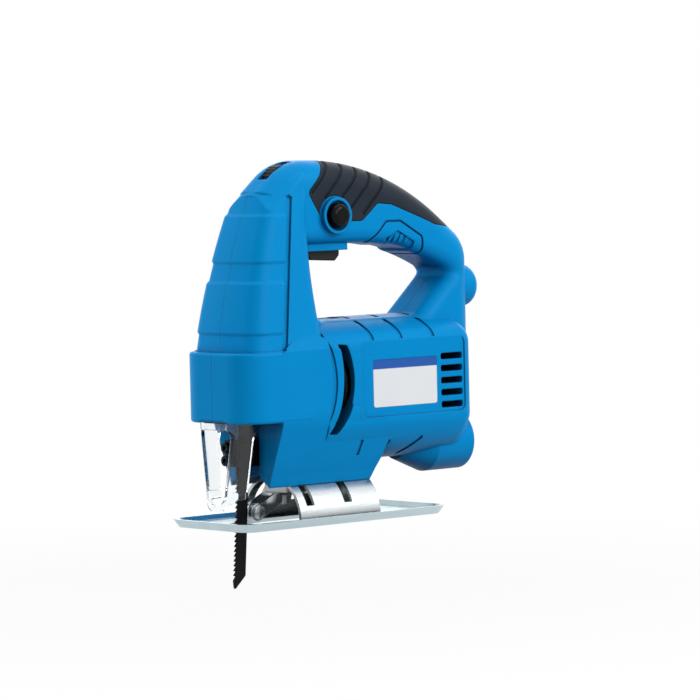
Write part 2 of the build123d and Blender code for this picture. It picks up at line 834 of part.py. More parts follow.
# Everything hollowed out of the housing
with BuildPart() as gear_room:
    add(lower_body(WALL))
    add(tower(WALL))
    with Locations(((CASE_FRONT + PLATE_FRONT) / 2, 0, (ROOM_BOTTOM + ROOM_TOP) / 2)):
        Box(PLATE_FRONT - CASE_FRONT, BIG, ROOM_TOP - ROOM_BOTTOM, mode=Mode.INTERSECT)
    add(rod_x(GEAR_TIP + GEAR_CLEAR, AXLE_FRONT - GEAR_CLEAR, PLATE_FRONT, GEAR_Z))
    bush_rear = PLUNGER_X + BUSH_R + WALL
    bush_front = PLUNGER_X - BUSH_R - WALL - TOWER_CORNER
    for z_from, z_to in (
        (HEAD_BOTTOM, BUSH_LOW_Z + BUSH_LOW_HIGH),
        (BUSH_TOP_Z, BUSH_TOP_Z + BUSH_TOP_HIGH + OVER),
    ):
        add(block(bush_front, bush_rear, BUSH_R + WALL, z_from, z_to), mode=Mode.SUBTRACT)
    for x, z in SCREW_SPOTS:
        if x < PLUNGER_X:
            add(rod_y(SCREW_HEAD_R + BOSS_WALL, x, z, -BIG, BIG), mode=Mode.SUBTRACT)
    add(rod_z(PLUNGER_R + 2 * PLAY, PLUNGER_X, 0, HEAD_BOTTOM - OVER, ROOM_TOP))
    add(rod_z(BUSH_R + SEAT, PLUNGER_X, 0, BUSH_LOW_Z, BUSH_LOW_Z + BUSH_LOW_HIGH))
    add(rod_z(BUSH_R + SEAT, PLUNGER_X, 0, BUSH_TOP_Z, BUSH_TOP_Z + BUSH_TOP_HIGH))

with BuildPart() as motor_room:
    extrude(gear_plate_outline(PLATE_FRONT, SEAT), amount=PLATE_REAR - PLATE_FRONT)
    add(rod_x(HUB_R + SEAT, PLATE_REAR, FAN_ROOM[0], MOTOR_Z))
    add(rod_x(FAN_ROOM[2], FAN_ROOM[0], FAN_ROOM[1], MOTOR_Z))
    add(rod_x(FRONT_ROOM_R, FAN_ROOM[1], CORE[0], MOTOR_Z))
    add(rod_x(FIELD_R + SEAT, CORE[0], CORE[1], MOTOR_Z))
    add(rod_x(COIL_ROOM[1], CORE[1], COIL_ROOM[0], MOTOR_Z))
    add(rod_x(REAR_ROOM[1], COIL_ROOM[0], REAR_ROOM[0], MOTOR_Z))
    add(rod_x(REAR_BEARING[2] + SEAT, REAR_ROOM[0], REAR_BEARING[1], MOTOR_Z))
    for side in (-1, 1):
        with BuildSketch(Plane.XZ.offset(side * CRESCENT_INNER)):
            with BuildLine():
                front_edge = ThreePointArc(*CRESCENT_FRONT)
                rear_edge = ThreePointArc(*CRESCENT_REAR)
                Line(front_edge @ 0, rear_edge @ 0)
                Line(front_edge @ 1, rear_edge @ 1)
            make_face()
        extrude(amount=side * CASE_HALF)
    for step in range(VENT_COUNT):
        z = VENT_FIRST + step * VENT_PITCH
        slot = (VENT_X[0], z - VENT_HIGH / 2, VENT_X[1], z + VENT_HIGH / 2)
        for side in (-1, 1):
            y_from, y_to = sorted((side * VENT_INNER, side * CASE_HALF))
            add(frame_prism(slot, VENT_HIGH / 3, y_from, y_to))

with BuildPart() as handle_room:
    add(
        block(
            TRIGGER_FRONT - PLAY,
            TRIGGER_REAR + PLAY,
            TRIGGER_HALF + PLAY,
            HOLE_FLOOR,
            TRIGGER_TOP + TRIGGER_TRAVEL + PLAY,
        )
    )
    add(
        block(
            SWITCH_FRONT - SEAT, SWITCH_REAR + SEAT, SWITCH_HALF + SEAT, SWITCH_LOW - SEAT, SWITCH_TOP + SEAT
        )
    )
    add(
        block(
            MODULE_FRONT - SEAT, MODULE_REAR + SEAT, MODULE_HALF + SEAT, MODULE_LOW - SEAT, MODULE_TOP + SEAT
        )
    )
    add(rod_y(DIAL_R + 2 * PLAY, DIAL_X, DIAL_Z, -DIAL_HALF - PLAY, DIAL_HALF + PLAY))
    add(rod_y(DIAL_AXLE_R + RUN, DIAL_X, DIAL_Z, -DIAL_AXLE_HALF - PLAY, DIAL_AXLE_HALF + PLAY))
    slope = math.asin((HANDLE_CREST_X - DIAL_SLOT_X) / HANDLE_NOSE_R)
    slot_z = HANDLE_TOP - HANDLE_NOSE_R * (1 - math.cos(slope))
    with BuildSketch(
        Plane(
            origin=(DIAL_SLOT_X, 0, slot_z),
            x_dir=(math.cos(slope), 0, math.sin(slope)),
            z_dir=(-math.sin(slope), 0, math.cos(slope)),
        )
    ):
        RectangleRounded(DIAL_SLOT_LONG, 2 * (DIAL_HALF + PLAY), DIAL_HALF / 3)
    extrude(amount=DIAL_SLOT_DEEP, both=True)
    add(rod_y(LOCK_R + PLAY, LOCK_X, LOCK_Z, -CASE_HALF, -LOCK_FOOT_Y + LOCK_TRAVEL + PLAY))
    add(rod_y(LOCK_RECESS_R, LOCK_X, LOCK_Z, -CASE_HALF, LOCK_RECESS - LOCK_BOSS_Y))
    add(rod_y(LOCK_STEM_R + PLAY, LOCK_X, LOCK_Z, -LOCK_FOOT_Y, -TRIGGER_HALF))

with BuildPart() as ducts:
    pocket_half = CLAMP_BLOCK_HALF + BLADE_CLEAR
    add(block(SKIRT_FRONT - OVER, CLAMP_BLOCK_REAR + BLADE_CLEAR, pocket_half, TILT_Z, HEAD_BOTTOM))
    add(rod_x(DUST_DUCT_R, SKIRT_FRONT, PORT_FRONT, DUST_DUCT_Z))
    add(rod_x(PORT_BORE_R + PORT_LINER + SEAT, PORT_FRONT, PORT_REAR, PORT_Z))
    add(rod_x(CORD_R + CORD_BUSH_WALL + SEAT, BOSS_REAR - CORD_BUSH_LONG, BOSS_REAR, BOSS_Z))
    add(rod_x(CORD_R + PLAY, BOSS_REAR - BOSS_LONG, BOSS_REAR, BOSS_Z))

with BuildPart() as screw_holes:
    for x, z in SCREW_SPOTS:
        add(rod_y(SCREW_R + SEAT / 2, x, z, SCREW_SEAT_Y - SCREW_LONG - PLAY, SCREW_SEAT_Y))
        add(rod_y(SCREW_HEAD_R + SEAT, x, z, SCREW_SEAT_Y, CASE_HALF + OVER))
    for x in SADDLE_SCREW_X:
        add(rod_z(SADDLE_SCREW_R, x, 0, TILT_Z, CLAMP_FLAT_Z - FORK_THICK + SADDLE_SCREW_LONG + PLAY))


def grip_region(extra, collar):
    """Side region of the soft grip; the left half leaves the lock button's collar free."""
    with BuildPart() as region:
        with BuildSketch(Plane.XZ):
            with BuildLine():
                Polyline(*GRIP_OUTLINE, close=True)
            make_face()
            fillet(vertices(), GRIP_ROUND)
            offset(amount=extra)
        extrude(amount=HANDLE_HALF + OVER, both=True)
        add(rod_y(LOCK_BOSS_R + collar, LOCK_X, LOCK_Z, -CASE_HALF, 0), mode=Mode.SUBTRACT)
    return region.part


def slant(foot, head, wide):
    """Narrow slab across the tool that follows a line in the side view."""
    run, rise = head[0] - foot[0], head[1] - foot[1]
    along = math.hypot(run, rise)
    u, v = -rise / along * wide / 2, run / along * wide / 2
    points = (
        (foot[0] - u, foot[1] - v),
        (foot[0] + u, foot[1] + v),
        (head[0] + u, head[1] + v),
        (head[0] - u, head[1] - v),
    )
    return side_prism(points, 0, -CASE_HALF - OVER, CASE_HALF + OVER)


# Regions and layers of the surface details
with BuildPart() as bands:
    lean = (GROOVE_HEAD[0] - GROOVE_FOOT[0]) / (GROOVE_HEAD[1] - GROOVE_FOOT[1])
    for low, high in BANDS:
        foot = max(low - BAND_SLOPE, GROOVE_FOOT[1])
        head = high + BAND_SLOPE
        rear_low = GROOVE_FOOT[0] + lean * (foot - GROOVE_FOOT[1])
        rear_high = GROOVE_FOOT[0] + lean * (head - GROOVE_FOOT[1])
        outline = ((-CASE_HALF, foot), (rear_low, foot), (rear_high, head), (-CASE_HALF, head))
        add(side_prism(outline, 0, -CASE_HALF, CASE_HALF))
        add(waist(low, high), mode=Mode.SUBTRACT)

with BuildPart() as roof_slabs:
    for x in ROOF_GROOVE_X:
        front, rear = x - ROOF_GROOVE_WIDE / 2, x + ROOF_GROOVE_WIDE / 2
        add(block(front, rear, CASE_HALF, BARREL_EAVES - OVER, BARREL_TOP + OVER))

with BuildPart() as keel_grooves:
    for foot, head in KEEL_GROOVES:
        add(slant(foot, head, KEEL_GROOVE_WIDE))
    add(lower_body(ROOF_GROOVE_DEEP), mode=Mode.SUBTRACT)
    add(barrel(ROOF_GROOVE_DEEP), mode=Mode.SUBTRACT)

with BuildPart() as scoops:
    for side in (-1, 1):
        with BuildSketch(Plane.XZ.offset(side * (CASE_HALF - SCOOP_DEEP))):
            with BuildLine():
                ThreePointArc(SCOOP_TIPS[0], (SCOOP_X[0], MOTOR_Z), SCOOP_TIPS[1])
                ThreePointArc(SCOOP_TIPS[0], (SCOOP_X[1], MOTOR_Z), SCOOP_TIPS[1])
            make_face()
        extrude(amount=side * WALL)

with BuildPart() as pad_prism:
    with BuildSketch(Plane.XZ):
        with BuildLine():
            Polyline(*PAD_OUTLINE, close=True)
        make_face()
        fillet(vertices(), PAD_ROUND)
        offset(amount=-PAD_LINE, mode=Mode.SUBTRACT)
        with BuildLine():
            Polyline(*PAD_INNER, close=True)
        make_face()
    extrude(amount=CASE_HALF, both=True)

with BuildPart() as rib_slabs:
    fall = math.tan(math.radians(HANDLE_CREST_SWEEP / 2))
    for step in range(RIB_COUNT):
        x = RIB_CREST_X + step * RIB_PITCH
        z = RIB_CREST_Z - step * RIB_PITCH * fall
        add(slant((x - RIB_DROP, z - RIB_DROP), (x + RIB_DROP, z + RIB_DROP), RIB_WIDE))

# Housing with all its recesses and rooms, before it is split down the middle
grip_bed = handle(GRIP_DEEP)
with BuildPart() as housing:
    add(shell.part)
    add(bands.part, mode=Mode.SUBTRACT)
    groove = slant(GROOVE_FOOT, GROOVE_HEAD, GROOVE_WIDE)
    add(layer(tower_form, tower(GROOVE_DEEP), groove), mode=Mode.SUBTRACT)
    add(layer(barrel_form, barrel(ROOF_GROOVE_DEEP), roof_slabs.part), mode=Mode.SUBTRACT)
    add(keel_grooves.part, mode=Mode.SUBTRACT)
    add(scoops.part, mode=Mode.SUBTRACT)
    add(layer(handle_form, handle(PAD_DEEP), pad_prism.part), mode=Mode.SUBTRACT)
    add(layer(handle_form, grip_bed, grip_region(SEAM, LOCK_COLLAR)), mode=Mode.SUBTRACT)
    panel_y = BARREL_HALF - PANEL_DEEP
    add(frame_prism(PANEL, PANEL_CORNER, panel_y, CASE_HALF), mode=Mode.SUBTRACT)
    add(frame_prism(PANEL, PANEL_CORNER, -CASE_HALF, -panel_y), mode=Mode.SUBTRACT)
    add(frame_prism(LABEL, LABEL_CORNER, -CASE_HALF, LABEL_THICK - panel_y), mode=Mode.SUBTRACT)
    for room in (gear_room, motor_room, handle_room, ducts, screw_holes):
        add(room.part, mode=Mode.SUBTRACT)
    add(blade_guard.part, mode=Mode.SUBTRACT)

with BuildPart() as housing_left:
    add(housing.part)
    split(bisect_by=Plane.XZ, keep=Keep.TOP)

with BuildPart() as housing_right:
    add(housing.part)
    split(bisect_by=Plane.XZ, keep=Keep.BOTTOM)

# Soft grip, in two halves like the housing
with BuildPart() as grip:
    add(layer(handle_form, grip_bed, grip_region(0, LOCK_COLLAR + SEAM)))
    add(layer(handle_form, handle(RIB_DEEP), rib_slabs.part), mode=Mode.SUBTRACT)

with BuildPart() as grip_left:
    add(grip.part)
    split(bisect_by=Plane.XZ, keep=Keep.TOP)

with BuildPart() as grip_right:
    add(grip.part)
    split(bisect_by=Plane.XZ, keep=Keep.BOTTOM)

with BuildPart() as label_plate:
    front, bottom, rear, top = LABEL
    inner = (front + SEAT, bottom + SEAT, rear - SEAT, top - SEAT)
    add(frame_prism(inner, LABEL_CORNER, -panel_y, LABEL_THICK - panel_y))

# Sole: a pressed plate with an upturned rim, open round the blade, the roller and the screws
with BuildPart() as sole_plate:
    with BuildSketch():
        with Locations((SOLE_FRONT + SOLE_LENGTH / 2, 0)):
            RectangleRounded(SOLE_LENGTH, SOLE_WIDTH, SOLE_CORNER)
    extrude(amount=SOLE_RIM, taper=-SOLE_FLARE)
    fillet(sole_plate.faces().sort_by(Axis.Z)[0].edges(), SOLE_BEND)
    with BuildSketch(Plane.XY.offset(SOLE_THICK)):
        with Locations((SOLE_FRONT + SOLE_LENGTH / 2, 0)):
            RectangleRounded(SOLE_LENGTH - SOLE_THICK, SOLE_WIDTH - SOLE_THICK, SOLE_CORNER - SOLE_THICK / 2)
    extrude(amount=SOLE_RIM, taper=-SOLE_FLARE, mode=Mode.SUBTRACT)
    with BuildSketch():
        saddle_rear = SADDLE_FRONT + SADDLE_LENGTH
        for front, rear, half in (
            (BLADE_SLOT_FRONT, SADDLE_FRONT, BLADE_SLOT_HALF),
            (ROLLER_WINDOW_FRONT, saddle_rear - CLAMP_END, ROLLER_WINDOW_HALF),
            (SADDLE_FRONT, saddle_rear - CLAMP_END, SCREW_WINDOW_HALF),
        ):
            with Locations(((front + rear) / 2, 0)):
                RectangleRounded(rear - front, 2 * half, BLADE_SLOT_HALF / 3)
    extrude(amount=SOLE_THICK, mode=Mode.SUBTRACT)

# Half-round saddle on the sole, with a curved slot for each clamp screw
with BuildPart() as bevel_saddle:
    with BuildSketch(Plane.YZ.offset(SADDLE_FRONT)):
        with Locations((0, TILT_Z)):
            Circle(SADDLE_R)
            Circle(SADDLE_R - SADDLE_THICK, mode=Mode.SUBTRACT)
            Rectangle(2 * SADDLE_R, SADDLE_R, align=(Align.CENTER, Align.MAX), mode=Mode.SUBTRACT)
    extrude(amount=SADDLE_LENGTH)
    with BuildSketch(Plane.YZ.offset(SADDLE_FRONT)) as slot_fan:
        sweep_end = math.radians(SADDLE_SLOT_SWEEP)
        fan_y, fan_z = BIG * math.sin(sweep_end), BIG * math.cos(sweep_end)
        with BuildLine():
            Polyline((0, TILT_Z), (-fan_y, TILT_Z + fan_z), (fan_y, TILT_Z + fan_z), close=True)
        make_face()
    for x in SADDLE_SCREW_X:
        with Locations((x - SADDLE_FRONT - SADDLE_SLOT_WIDTH / 2, 0, 0)):
            add(extrude(slot_fan.sketch, amount=SADDLE_SLOT_WIDTH, mode=Mode.PRIVATE), mode=Mode.SUBTRACT)

# Clamp bar inside the saddle, with its two screws up into the skirt
clamp_front = SADDLE_SCREW_X[0] - CLAMP_END
clamp_rear = SADDLE_SCREW_X[-1] + CLAMP_END
clamp_r = SADDLE_R - SADDLE_THICK - PLAY
with BuildPart() as saddle_clamp:
    add(rod_x(clamp_r, clamp_front, clamp_rear, TILT_Z))
    add(block(clamp_front, clamp_rear, CLAMP_HALF, CLAMP_FLAT_Z, TILT_Z + SADDLE_R), mode=Mode.INTERSECT)
    for x in SADDLE_SCREW_X:
        add(rod_z(SADDLE_SCREW_R + SEAT / 2, x, 0, 0, SADDLE_R + TILT_Z), mode=Mode.SUBTRACT)

fork_low = CLAMP_FLAT_Z - FORK_THICK
with BuildPart() as saddle_screws:
    for x in SADDLE_SCREW_X:
        add(rod_z(SADDLE_HEAD_R, x, 0, fork_low - SADDLE_HEAD_HIGH, fork_low))
        add(rod_z(SADDLE_SCREW_R, x, 0, fork_low, fork_low + SADDLE_SCREW_LONG))
        with BuildSketch(Plane.XY.offset(fork_low - SADDLE_HEAD_HIGH)):
            with Locations((x, 0)):
                RegularPolygon(SADDLE_HEX / 2, 6)
        extrude(amount=SADDLE_HEAD_HIGH / 2, mode=Mode.SUBTRACT)

# Fork that carries the guide roller, held under the clamp bar
cheek_in = ROLLER_HALF + PLAY
with BuildPart() as roller_fork:
    add(block(clamp_front - CLAMP_END, clamp_rear, cheek_in + FORK_THICK, fork_low, CLAMP_FLAT_Z))
    for side in (-1, 1):
        with BuildSketch(Plane.XZ.offset(-side * cheek_in)):
            with Locations((ROLLER_X, ROLLER_Z)):
                Circle(ROLLER_R - ROLLER_GROOVE)
            with Locations((clamp_front - CLAMP_END / 2, CLAMP_FLAT_Z - CLAMP_END / 2)):
                Rectangle(CLAMP_END, CLAMP_END)
            make_hull()
        extrude(amount=-side * FORK_THICK)
    for x in SADDLE_SCREW_X:
        add(rod_z(SADDLE_SCREW_R + SEAT / 2, x, 0, 0, SADDLE_R), mode=Mode.SUBTRACT)
    add(rod_y(ROLLER_PIN_R, ROLLER_X, ROLLER_Z, -CASE_HALF, CASE_HALF), mode=Mode.SUBTRACT)

pin_half = cheek_in + FORK_THICK + 2 * PLAY
with BuildPart() as roller_pin:
    add(rod_y(ROLLER_PIN_R, ROLLER_X, ROLLER_Z, -pin_half, pin_half))
    for side in (-1, 1):
        y_from, y_to = sorted((side * (cheek_in + FORK_THICK), side * (pin_half + PLAY)))
        add(rod_y(ROLLER_PIN_R + 2 * PLAY, ROLLER_X, ROLLER_Z, y_from, y_to))

with BuildPart() as guide_roller:
    with BuildSketch(Plane.XY.offset(ROLLER_Z)):
        groove_half = BLADE_THICK / 2 + PLAY
        with BuildLine():
            Polyline(
                (ROLLER_X + ROLLER_PIN_R + RUN, -ROLLER_HALF),
                (ROLLER_X + ROLLER_R, -ROLLER_HALF),
                (ROLLER_X + ROLLER_R, -groove_half - ROLLER_GROOVE / 2),
                (ROLLER_X + ROLLER_R - ROLLER_GROOVE, -groove_half),
                (ROLLER_X + ROLLER_R - ROLLER_GROOVE, groove_half),
                (ROLLER_X + ROLLER_R, groove_half + ROLLER_GROOVE / 2),
                (ROLLER_X + ROLLER_R, ROLLER_HALF),
                (ROLLER_X + ROLLER_PIN_R + RUN, ROLLER_HALF),
                close=True,
            )
        make_face()
    revolve(axis=Axis((ROLLER_X, 0, ROLLER_Z), (0, 1, 0)))

# Blade: upward-pointing teeth on the front edge, leaning with the tip forward
blade_points = [(BLADE_BACK, BLADE_TIP + BLADE_WIDE - TOOTH_DEEP), (BLADE_BACK, BLADE_TOP)]
blade_points.append((BLADE_BACK - BLADE_WIDE, BLADE_TOP))
blade_points.append((BLADE_BACK - BLADE_WIDE, TOOTH_FIRST))
for step in range(TOOTH_COUNT):
    z = TOOTH_FIRST - step * TOOTH_PITCH
    blade_points.append((BLADE_BACK - BLADE_WIDE + TOOTH_DEEP, z - TOOTH_PITCH / 5))
    blade_points.append((BLADE_BACK - BLADE_WIDE, z - TOOTH_PITCH))
blade_points.append((BLADE_BACK - BLADE_WIDE + TOOTH_DEEP / 2, BLADE_TIP))
blade_points.append((BLADE_BACK - BLADE_WIDE + TOOTH_DEEP, BLADE_TIP))
with BuildPart() as blade:
    with BuildSketch(Plane.XZ):
        with BuildLine():
            Polyline(*[(x + z * LEAN, z) for x, z in blade_points], close=True)
        make_face()
    extrude(amount=BLADE_THICK / 2, both=True)

clamp_low = CLAMP_BLOCK_TOP - CLAMP_BLOCK_HIGH
with BuildPart() as blade_clamp:
    add(block(CLAMP_BLOCK_FRONT, CLAMP_BLOCK_REAR, CLAMP_BLOCK_HALF, clamp_low, CLAMP_BLOCK_TOP))
    chamfer(blade_clamp.edges().filter_by(Axis.Z), CLAMP_BLOCK_HALF / 4)
    add(rod_z(PLUNGER_R, PLUNGER_X, 0, BLADE_TOP, CLAMP_BLOCK_TOP), mode=Mode.SUBTRACT)
    with BuildSketch(Plane.XZ):
        with BuildLine():
            corners = ((BLADE_BACK, clamp_low), (BLADE_BACK, BLADE_TOP))
            corners += ((BLADE_BACK - BLADE_WIDE, BLADE_TOP), (BLADE_BACK - BLADE_WIDE, clamp_low))
            Polyline(*[(x + z * LEAN, z) for x, z in corners], close=True)
        make_face()
    extrude(amount=BLADE_THICK / 2, both=True, mode=Mode.SUBTRACT)
    for side in (-1, 1):
        z = clamp_low + CLAMP_BLOCK_HIGH / 2 + side * CLAMP_HEAD_PITCH / 2
        add(rod_x(CLAMP_HEAD_R / 2, CLAMP_BLOCK_FRONT, screw_tip(z) + OVER, z), mode=Mode.SUBTRACT)

with BuildPart() as clamp_screws:
    for side in (-1, 1):
        z = clamp_low + CLAMP_BLOCK_HIGH / 2 + side * CLAMP_HEAD_PITCH / 2
        add(rod_x(CLAMP_HEAD_R, CLAMP_BLOCK_FRONT - CLAMP_HEAD_LONG, CLAMP_BLOCK_FRONT, z))
        add(rod_x(CLAMP_HEAD_R / 2, CLAMP_BLOCK_FRONT, screw_tip(z), z))
        with BuildSketch(Plane.YZ.offset(CLAMP_BLOCK_FRONT - CLAMP_HEAD_LONG)):
            with Locations((0, z)):
                RegularPolygon(CLAMP_HEAD_R / 2, 6)
        extrude(amount=CLAMP_HEAD_LONG / 2, mode=Mode.SUBTRACT)

# Plunger with its cross slot for the crank's roller
with BuildPart() as plunger:
    add(rod_z(PLUNGER_R, PLUNGER_X, 0, BLADE_TOP, PLUNGER_TOP))
    add(block(YOKE_FRONT, YOKE_REAR, YOKE_HALF, GEAR_Z - YOKE_RISE, GEAR_Z + YOKE_RISE))
    slot_half = CRANK_ROLLER_R + SEAT
    add(
        block(ROLLER_FRONT - PLAY, YOKE_REAR, YOKE_SLOT_HALF, GEAR_Z - slot_half, GEAR_Z + slot_half),
        mode=Mode.SUBTRACT,
    )

with BuildPart() as crank_roller:
    add(rod_x(CRANK_ROLLER_R, ROLLER_FRONT, ROLLER_REAR, GEAR_Z, CRANK_R))

with BuildPart() as plunger_bush_lower:
    add(rod_z(BUSH_R, PLUNGER_X, 0, BUSH_LOW_Z, BUSH_LOW_Z + BUSH_LOW_HIGH))
    add(rod_z(PLUNGER_R + RUN, PLUNGER_X, 0, BUSH_LOW_Z, BUSH_LOW_Z + BUSH_LOW_HIGH), mode=Mode.SUBTRACT)

with BuildPart() as plunger_bush_upper:
    add(rod_z(BUSH_R, PLUNGER_X, 0, BUSH_TOP_Z, BUSH_TOP_Z + BUSH_TOP_HIGH))
    add(rod_z(PLUNGER_R + RUN, PLUNGER_X, 0, BUSH_TOP_Z, BUSH_TOP_Z + BUSH_TOP_HIGH), mode=Mode.SUBTRACT)

# Gears: an eight-tooth pinion on the motor drives the crank gear
with BuildPart() as pinion:
    extrude(
        gear_outline(SHAFT_FRONT, MOTOR_Z, PINION_TEETH, PINION_THICK, PINION_ROOT, PINION_TIP, 90),
        amount=PINION_REAR - SHAFT_FRONT,
    )
    add(rod_x(PINION_BORE, SHAFT_FRONT, PINION_REAR, MOTOR_Z), mode=Mode.SUBTRACT)

with BuildPart() as drive_gear:
    start = 270 + 180 / GEAR_TEETH
    extrude(
        gear_outline(GEAR_FRONT, GEAR_Z, GEAR_TEETH, GEAR_THICK, GEAR_ROOT, GEAR_TIP, start),
        amount=GEAR_REAR - GEAR_FRONT,
    )
    add(rod_x(CRANK_PIN_R, ROLLER_REAR + PLAY, GEAR_FRONT, GEAR_Z, CRANK_R))
    add(rod_x(AXLE_R + RUN, GEAR_FRONT, GEAR_REAR, GEAR_Z), mode=Mode.SUBTRACT)

with BuildPart() as gear_axle:
    add(rod_x(AXLE_R, AXLE_FRONT, PLATE_REAR, GEAR_Z))
    add(rod_x(AXLE_R + AXLE_HEAD, AXLE_FRONT - AXLE_HEAD, GEAR_FRONT - PLAY, GEAR_Z))

with BuildPart() as gear_plate:
    extrude(gear_plate_outline(PLATE_FRONT, 0), amount=PLATE_REAR - PLATE_FRONT)
    add(rod_x(HUB_R, PLATE_REAR, FAN_ROOM[0], MOTOR_Z))
    add(rod_x(FRONT_BEARING[2], FRONT_BEARING[0], FAN_ROOM[0], MOTOR_Z), mode=Mode.SUBTRACT)
    add(rod_x(SHAFT_R + GEAR_CLEAR, PLATE_FRONT, FRONT_BEARING[0], MOTOR_Z), mode=Mode.SUBTRACT)
    add(rod_x(AXLE_R, PLATE_FRONT, PLATE_REAR, GEAR_Z), mode=Mode.SUBTRACT)

# Motor
with BuildPart() as armature_shaft:
    add(rod_x(PINION_BORE, SHAFT_FRONT, PLATE_FRONT, MOTOR_Z))
    add(rod_x(SHAFT_R, PLATE_FRONT, REAR_BEARING[0], MOTOR_Z))
    add(rod_x(SHAFT_TAIL_R, REAR_BEARING[0], REAR_BEARING[1], MOTOR_Z))

with BuildPart() as front_bearing:
    add(ring_x(FRONT_BEARING[2], SHAFT_R + RUN, FRONT_BEARING[0], FRONT_BEARING[1]))

with BuildPart() as rear_bearing:
    add(ring_x(REAR_BEARING[2], SHAFT_TAIL_R + RUN, REAR_BEARING[0] + PLAY, REAR_BEARING[1]))

with BuildPart() as armature_core:
    add(ring_x(CORE_R, SHAFT_R, *CORE))
    with BuildSketch(Plane.YZ.offset(CORE[0])):
        with Locations((0, MOTOR_Z)):
            with PolarLocations(CORE_R, CORE_SLOTS):
                Rectangle(2 * CORE_SLOT_DEEP, CORE_SLOT_WIDE)
    extrude(amount=CORE[1] - CORE[0], mode=Mode.SUBTRACT)

with BuildPart() as armature_winding:
    for x_from, x_to in ((WINDING_FRONT, CORE[0]), (CORE[1], WINDING_REAR)):
        add(ring_x(WINDING_R, SHAFT_R, x_from, x_to))
    ends = armature_winding.edges().filter_by(GeomType.CIRCLE).filter_by(lambda edge: edge.radius > SHAFT_R)
    fillet([ends.sort_by(Axis.X)[0], ends.sort_by(Axis.X)[-1]], CRANK_PIN_R)

with BuildPart() as commutator:
    add(ring_x(COMMUTATOR[2], SHAFT_R, COMMUTATOR[0], COMMUTATOR[1]))
    with BuildSketch(Plane.YZ.offset(COMMUTATOR[0])):
        with Locations((0, MOTOR_Z)):
            with PolarLocations(COMMUTATOR[2], COMMUTATOR_BARS):
                Rectangle(CORE_SLOT_DEEP, CORE_SLOT_DEEP / 2)
    extrude(amount=COMMUTATOR[1] - COMMUTATOR[0], mode=Mode.SUBTRACT)

with BuildPart() as cooling_fan:
    add(ring_x(FAN_HUB_R, SHAFT_R, FAN[0], FAN[1]))
    add(ring_x(FAN[2], FAN_HUB_R, FAN[1] - FAN_PLATE, FAN[1]))
    with BuildSketch(Plane.YZ.offset(FAN[0])):
        with Locations((0, MOTOR_Z)):
            with PolarLocations((FAN[2] + FAN_HUB_R) / 2 - OVER, FAN_BLADES):
                Rectangle(FAN[2] - FAN_HUB_R, FAN_BLADE_THICK)
    extrude(amount=FAN[1] - FAN[0])

with BuildPart() as field_core:
    add(ring_x(FIELD_R, FIELD_BORE_R, *CORE))

with BuildPart() as field_coils:
    for x_from, x_to in ((COIL_FRONT, CORE[0]), (CORE[1], COIL_REAR)):
        with BuildSketch(Plane.YZ.offset(x_from)):
            half_turn = math.radians(COIL_SWEEP / 2)
            fan_y, fan_z = BIG * math.sin(half_turn), BIG * math.cos(half_turn)
            with BuildLine():
                Polyline((0, MOTOR_Z), (fan_y, MOTOR_Z + fan_z), (-fan_y, MOTOR_Z + fan_z), close=True)
            make_face()
            with BuildLine():
                Polyline((0, MOTOR_Z), (fan_y, MOTOR_Z - fan_z), (-fan_y, MOTOR_Z - fan_z), close=True)
            make_face()
            with Locations((0, MOTOR_Z)):
                Circle(COIL_OUT, mode=Mode.INTERSECT)
                Circle(COIL_IN, mode=Mode.SUBTRACT)
        extrude(amount=x_to - x_from)

with BuildPart() as brush_holders:
    for side in (-1, 1):
        middle = MOTOR_Z + side * (HOLDER_FOOT + HOLDER_TOP) / 2
        with Locations((BRUSH_X, 0, middle)):
            Box(2 * HOLDER_HALF[0], 2 * HOLDER_HALF[1], HOLDER_TOP - HOLDER_FOOT)
            Box(2 * BRUSH_HALF[0], 2 * BRUSH_HALF[1], HOLDER_TOP - HOLDER_FOOT, mode=Mode.SUBTRACT)

with BuildPart() as carbon_brushes:
    for side in (-1, 1):
        with Locations((BRUSH_X, 0, MOTOR_Z + side * (COMMUTATOR[2] + PLAY + BRUSH_LONG / 2))):
            Box(2 * BRUSH_HALF[0], 2 * BRUSH_HALF[1], BRUSH_LONG)

# Controls
with BuildPart() as trigger:
    with BuildSketch(Plane.XZ):
        with BuildLine():
            dip = TRIGGER_LOW + TRIGGER_ROUND
            Polyline(
                (TRIGGER_FRONT, TRIGGER_TOP),
                (TRIGGER_FRONT, dip),
                (TRIGGER_FRONT + TRIGGER_ROUND, TRIGGER_LOW + TRIGGER_ROUND / 3),
                (TRIGGER_REAR - TRIGGER_ROUND, TRIGGER_LOW),
                (TRIGGER_REAR, dip),
                (TRIGGER_REAR, TRIGGER_TOP),
                close=True,
            )
        make_face()
        fillet(vertices().sort_by(Axis.Y)[:4], TRIGGER_ROUND / 2)
    extrude(amount=TRIGGER_HALF, both=True)
    rims = trigger.edges().filter_by(lambda edge: edge.center().Z < LIP_LOW and abs(edge.center().Y) > RUN)
    fillet(rims.filter_by(Axis.Z, reverse=True), TRIGGER_ROUND / 3)

with BuildPart() as lock_button:
    add(rod_y(LOCK_R, LOCK_X, LOCK_Z, -LOCK_FACE_Y - LOCK_DOME, -LOCK_FOOT_Y))
    fillet(lock_button.edges().filter_by(GeomType.CIRCLE).sort_by(Axis.Y)[0], LOCK_DOME)
    add(rod_y(LOCK_STEM_R, LOCK_X, LOCK_Z, -LOCK_FOOT_Y, -LOCK_STEM_Y))

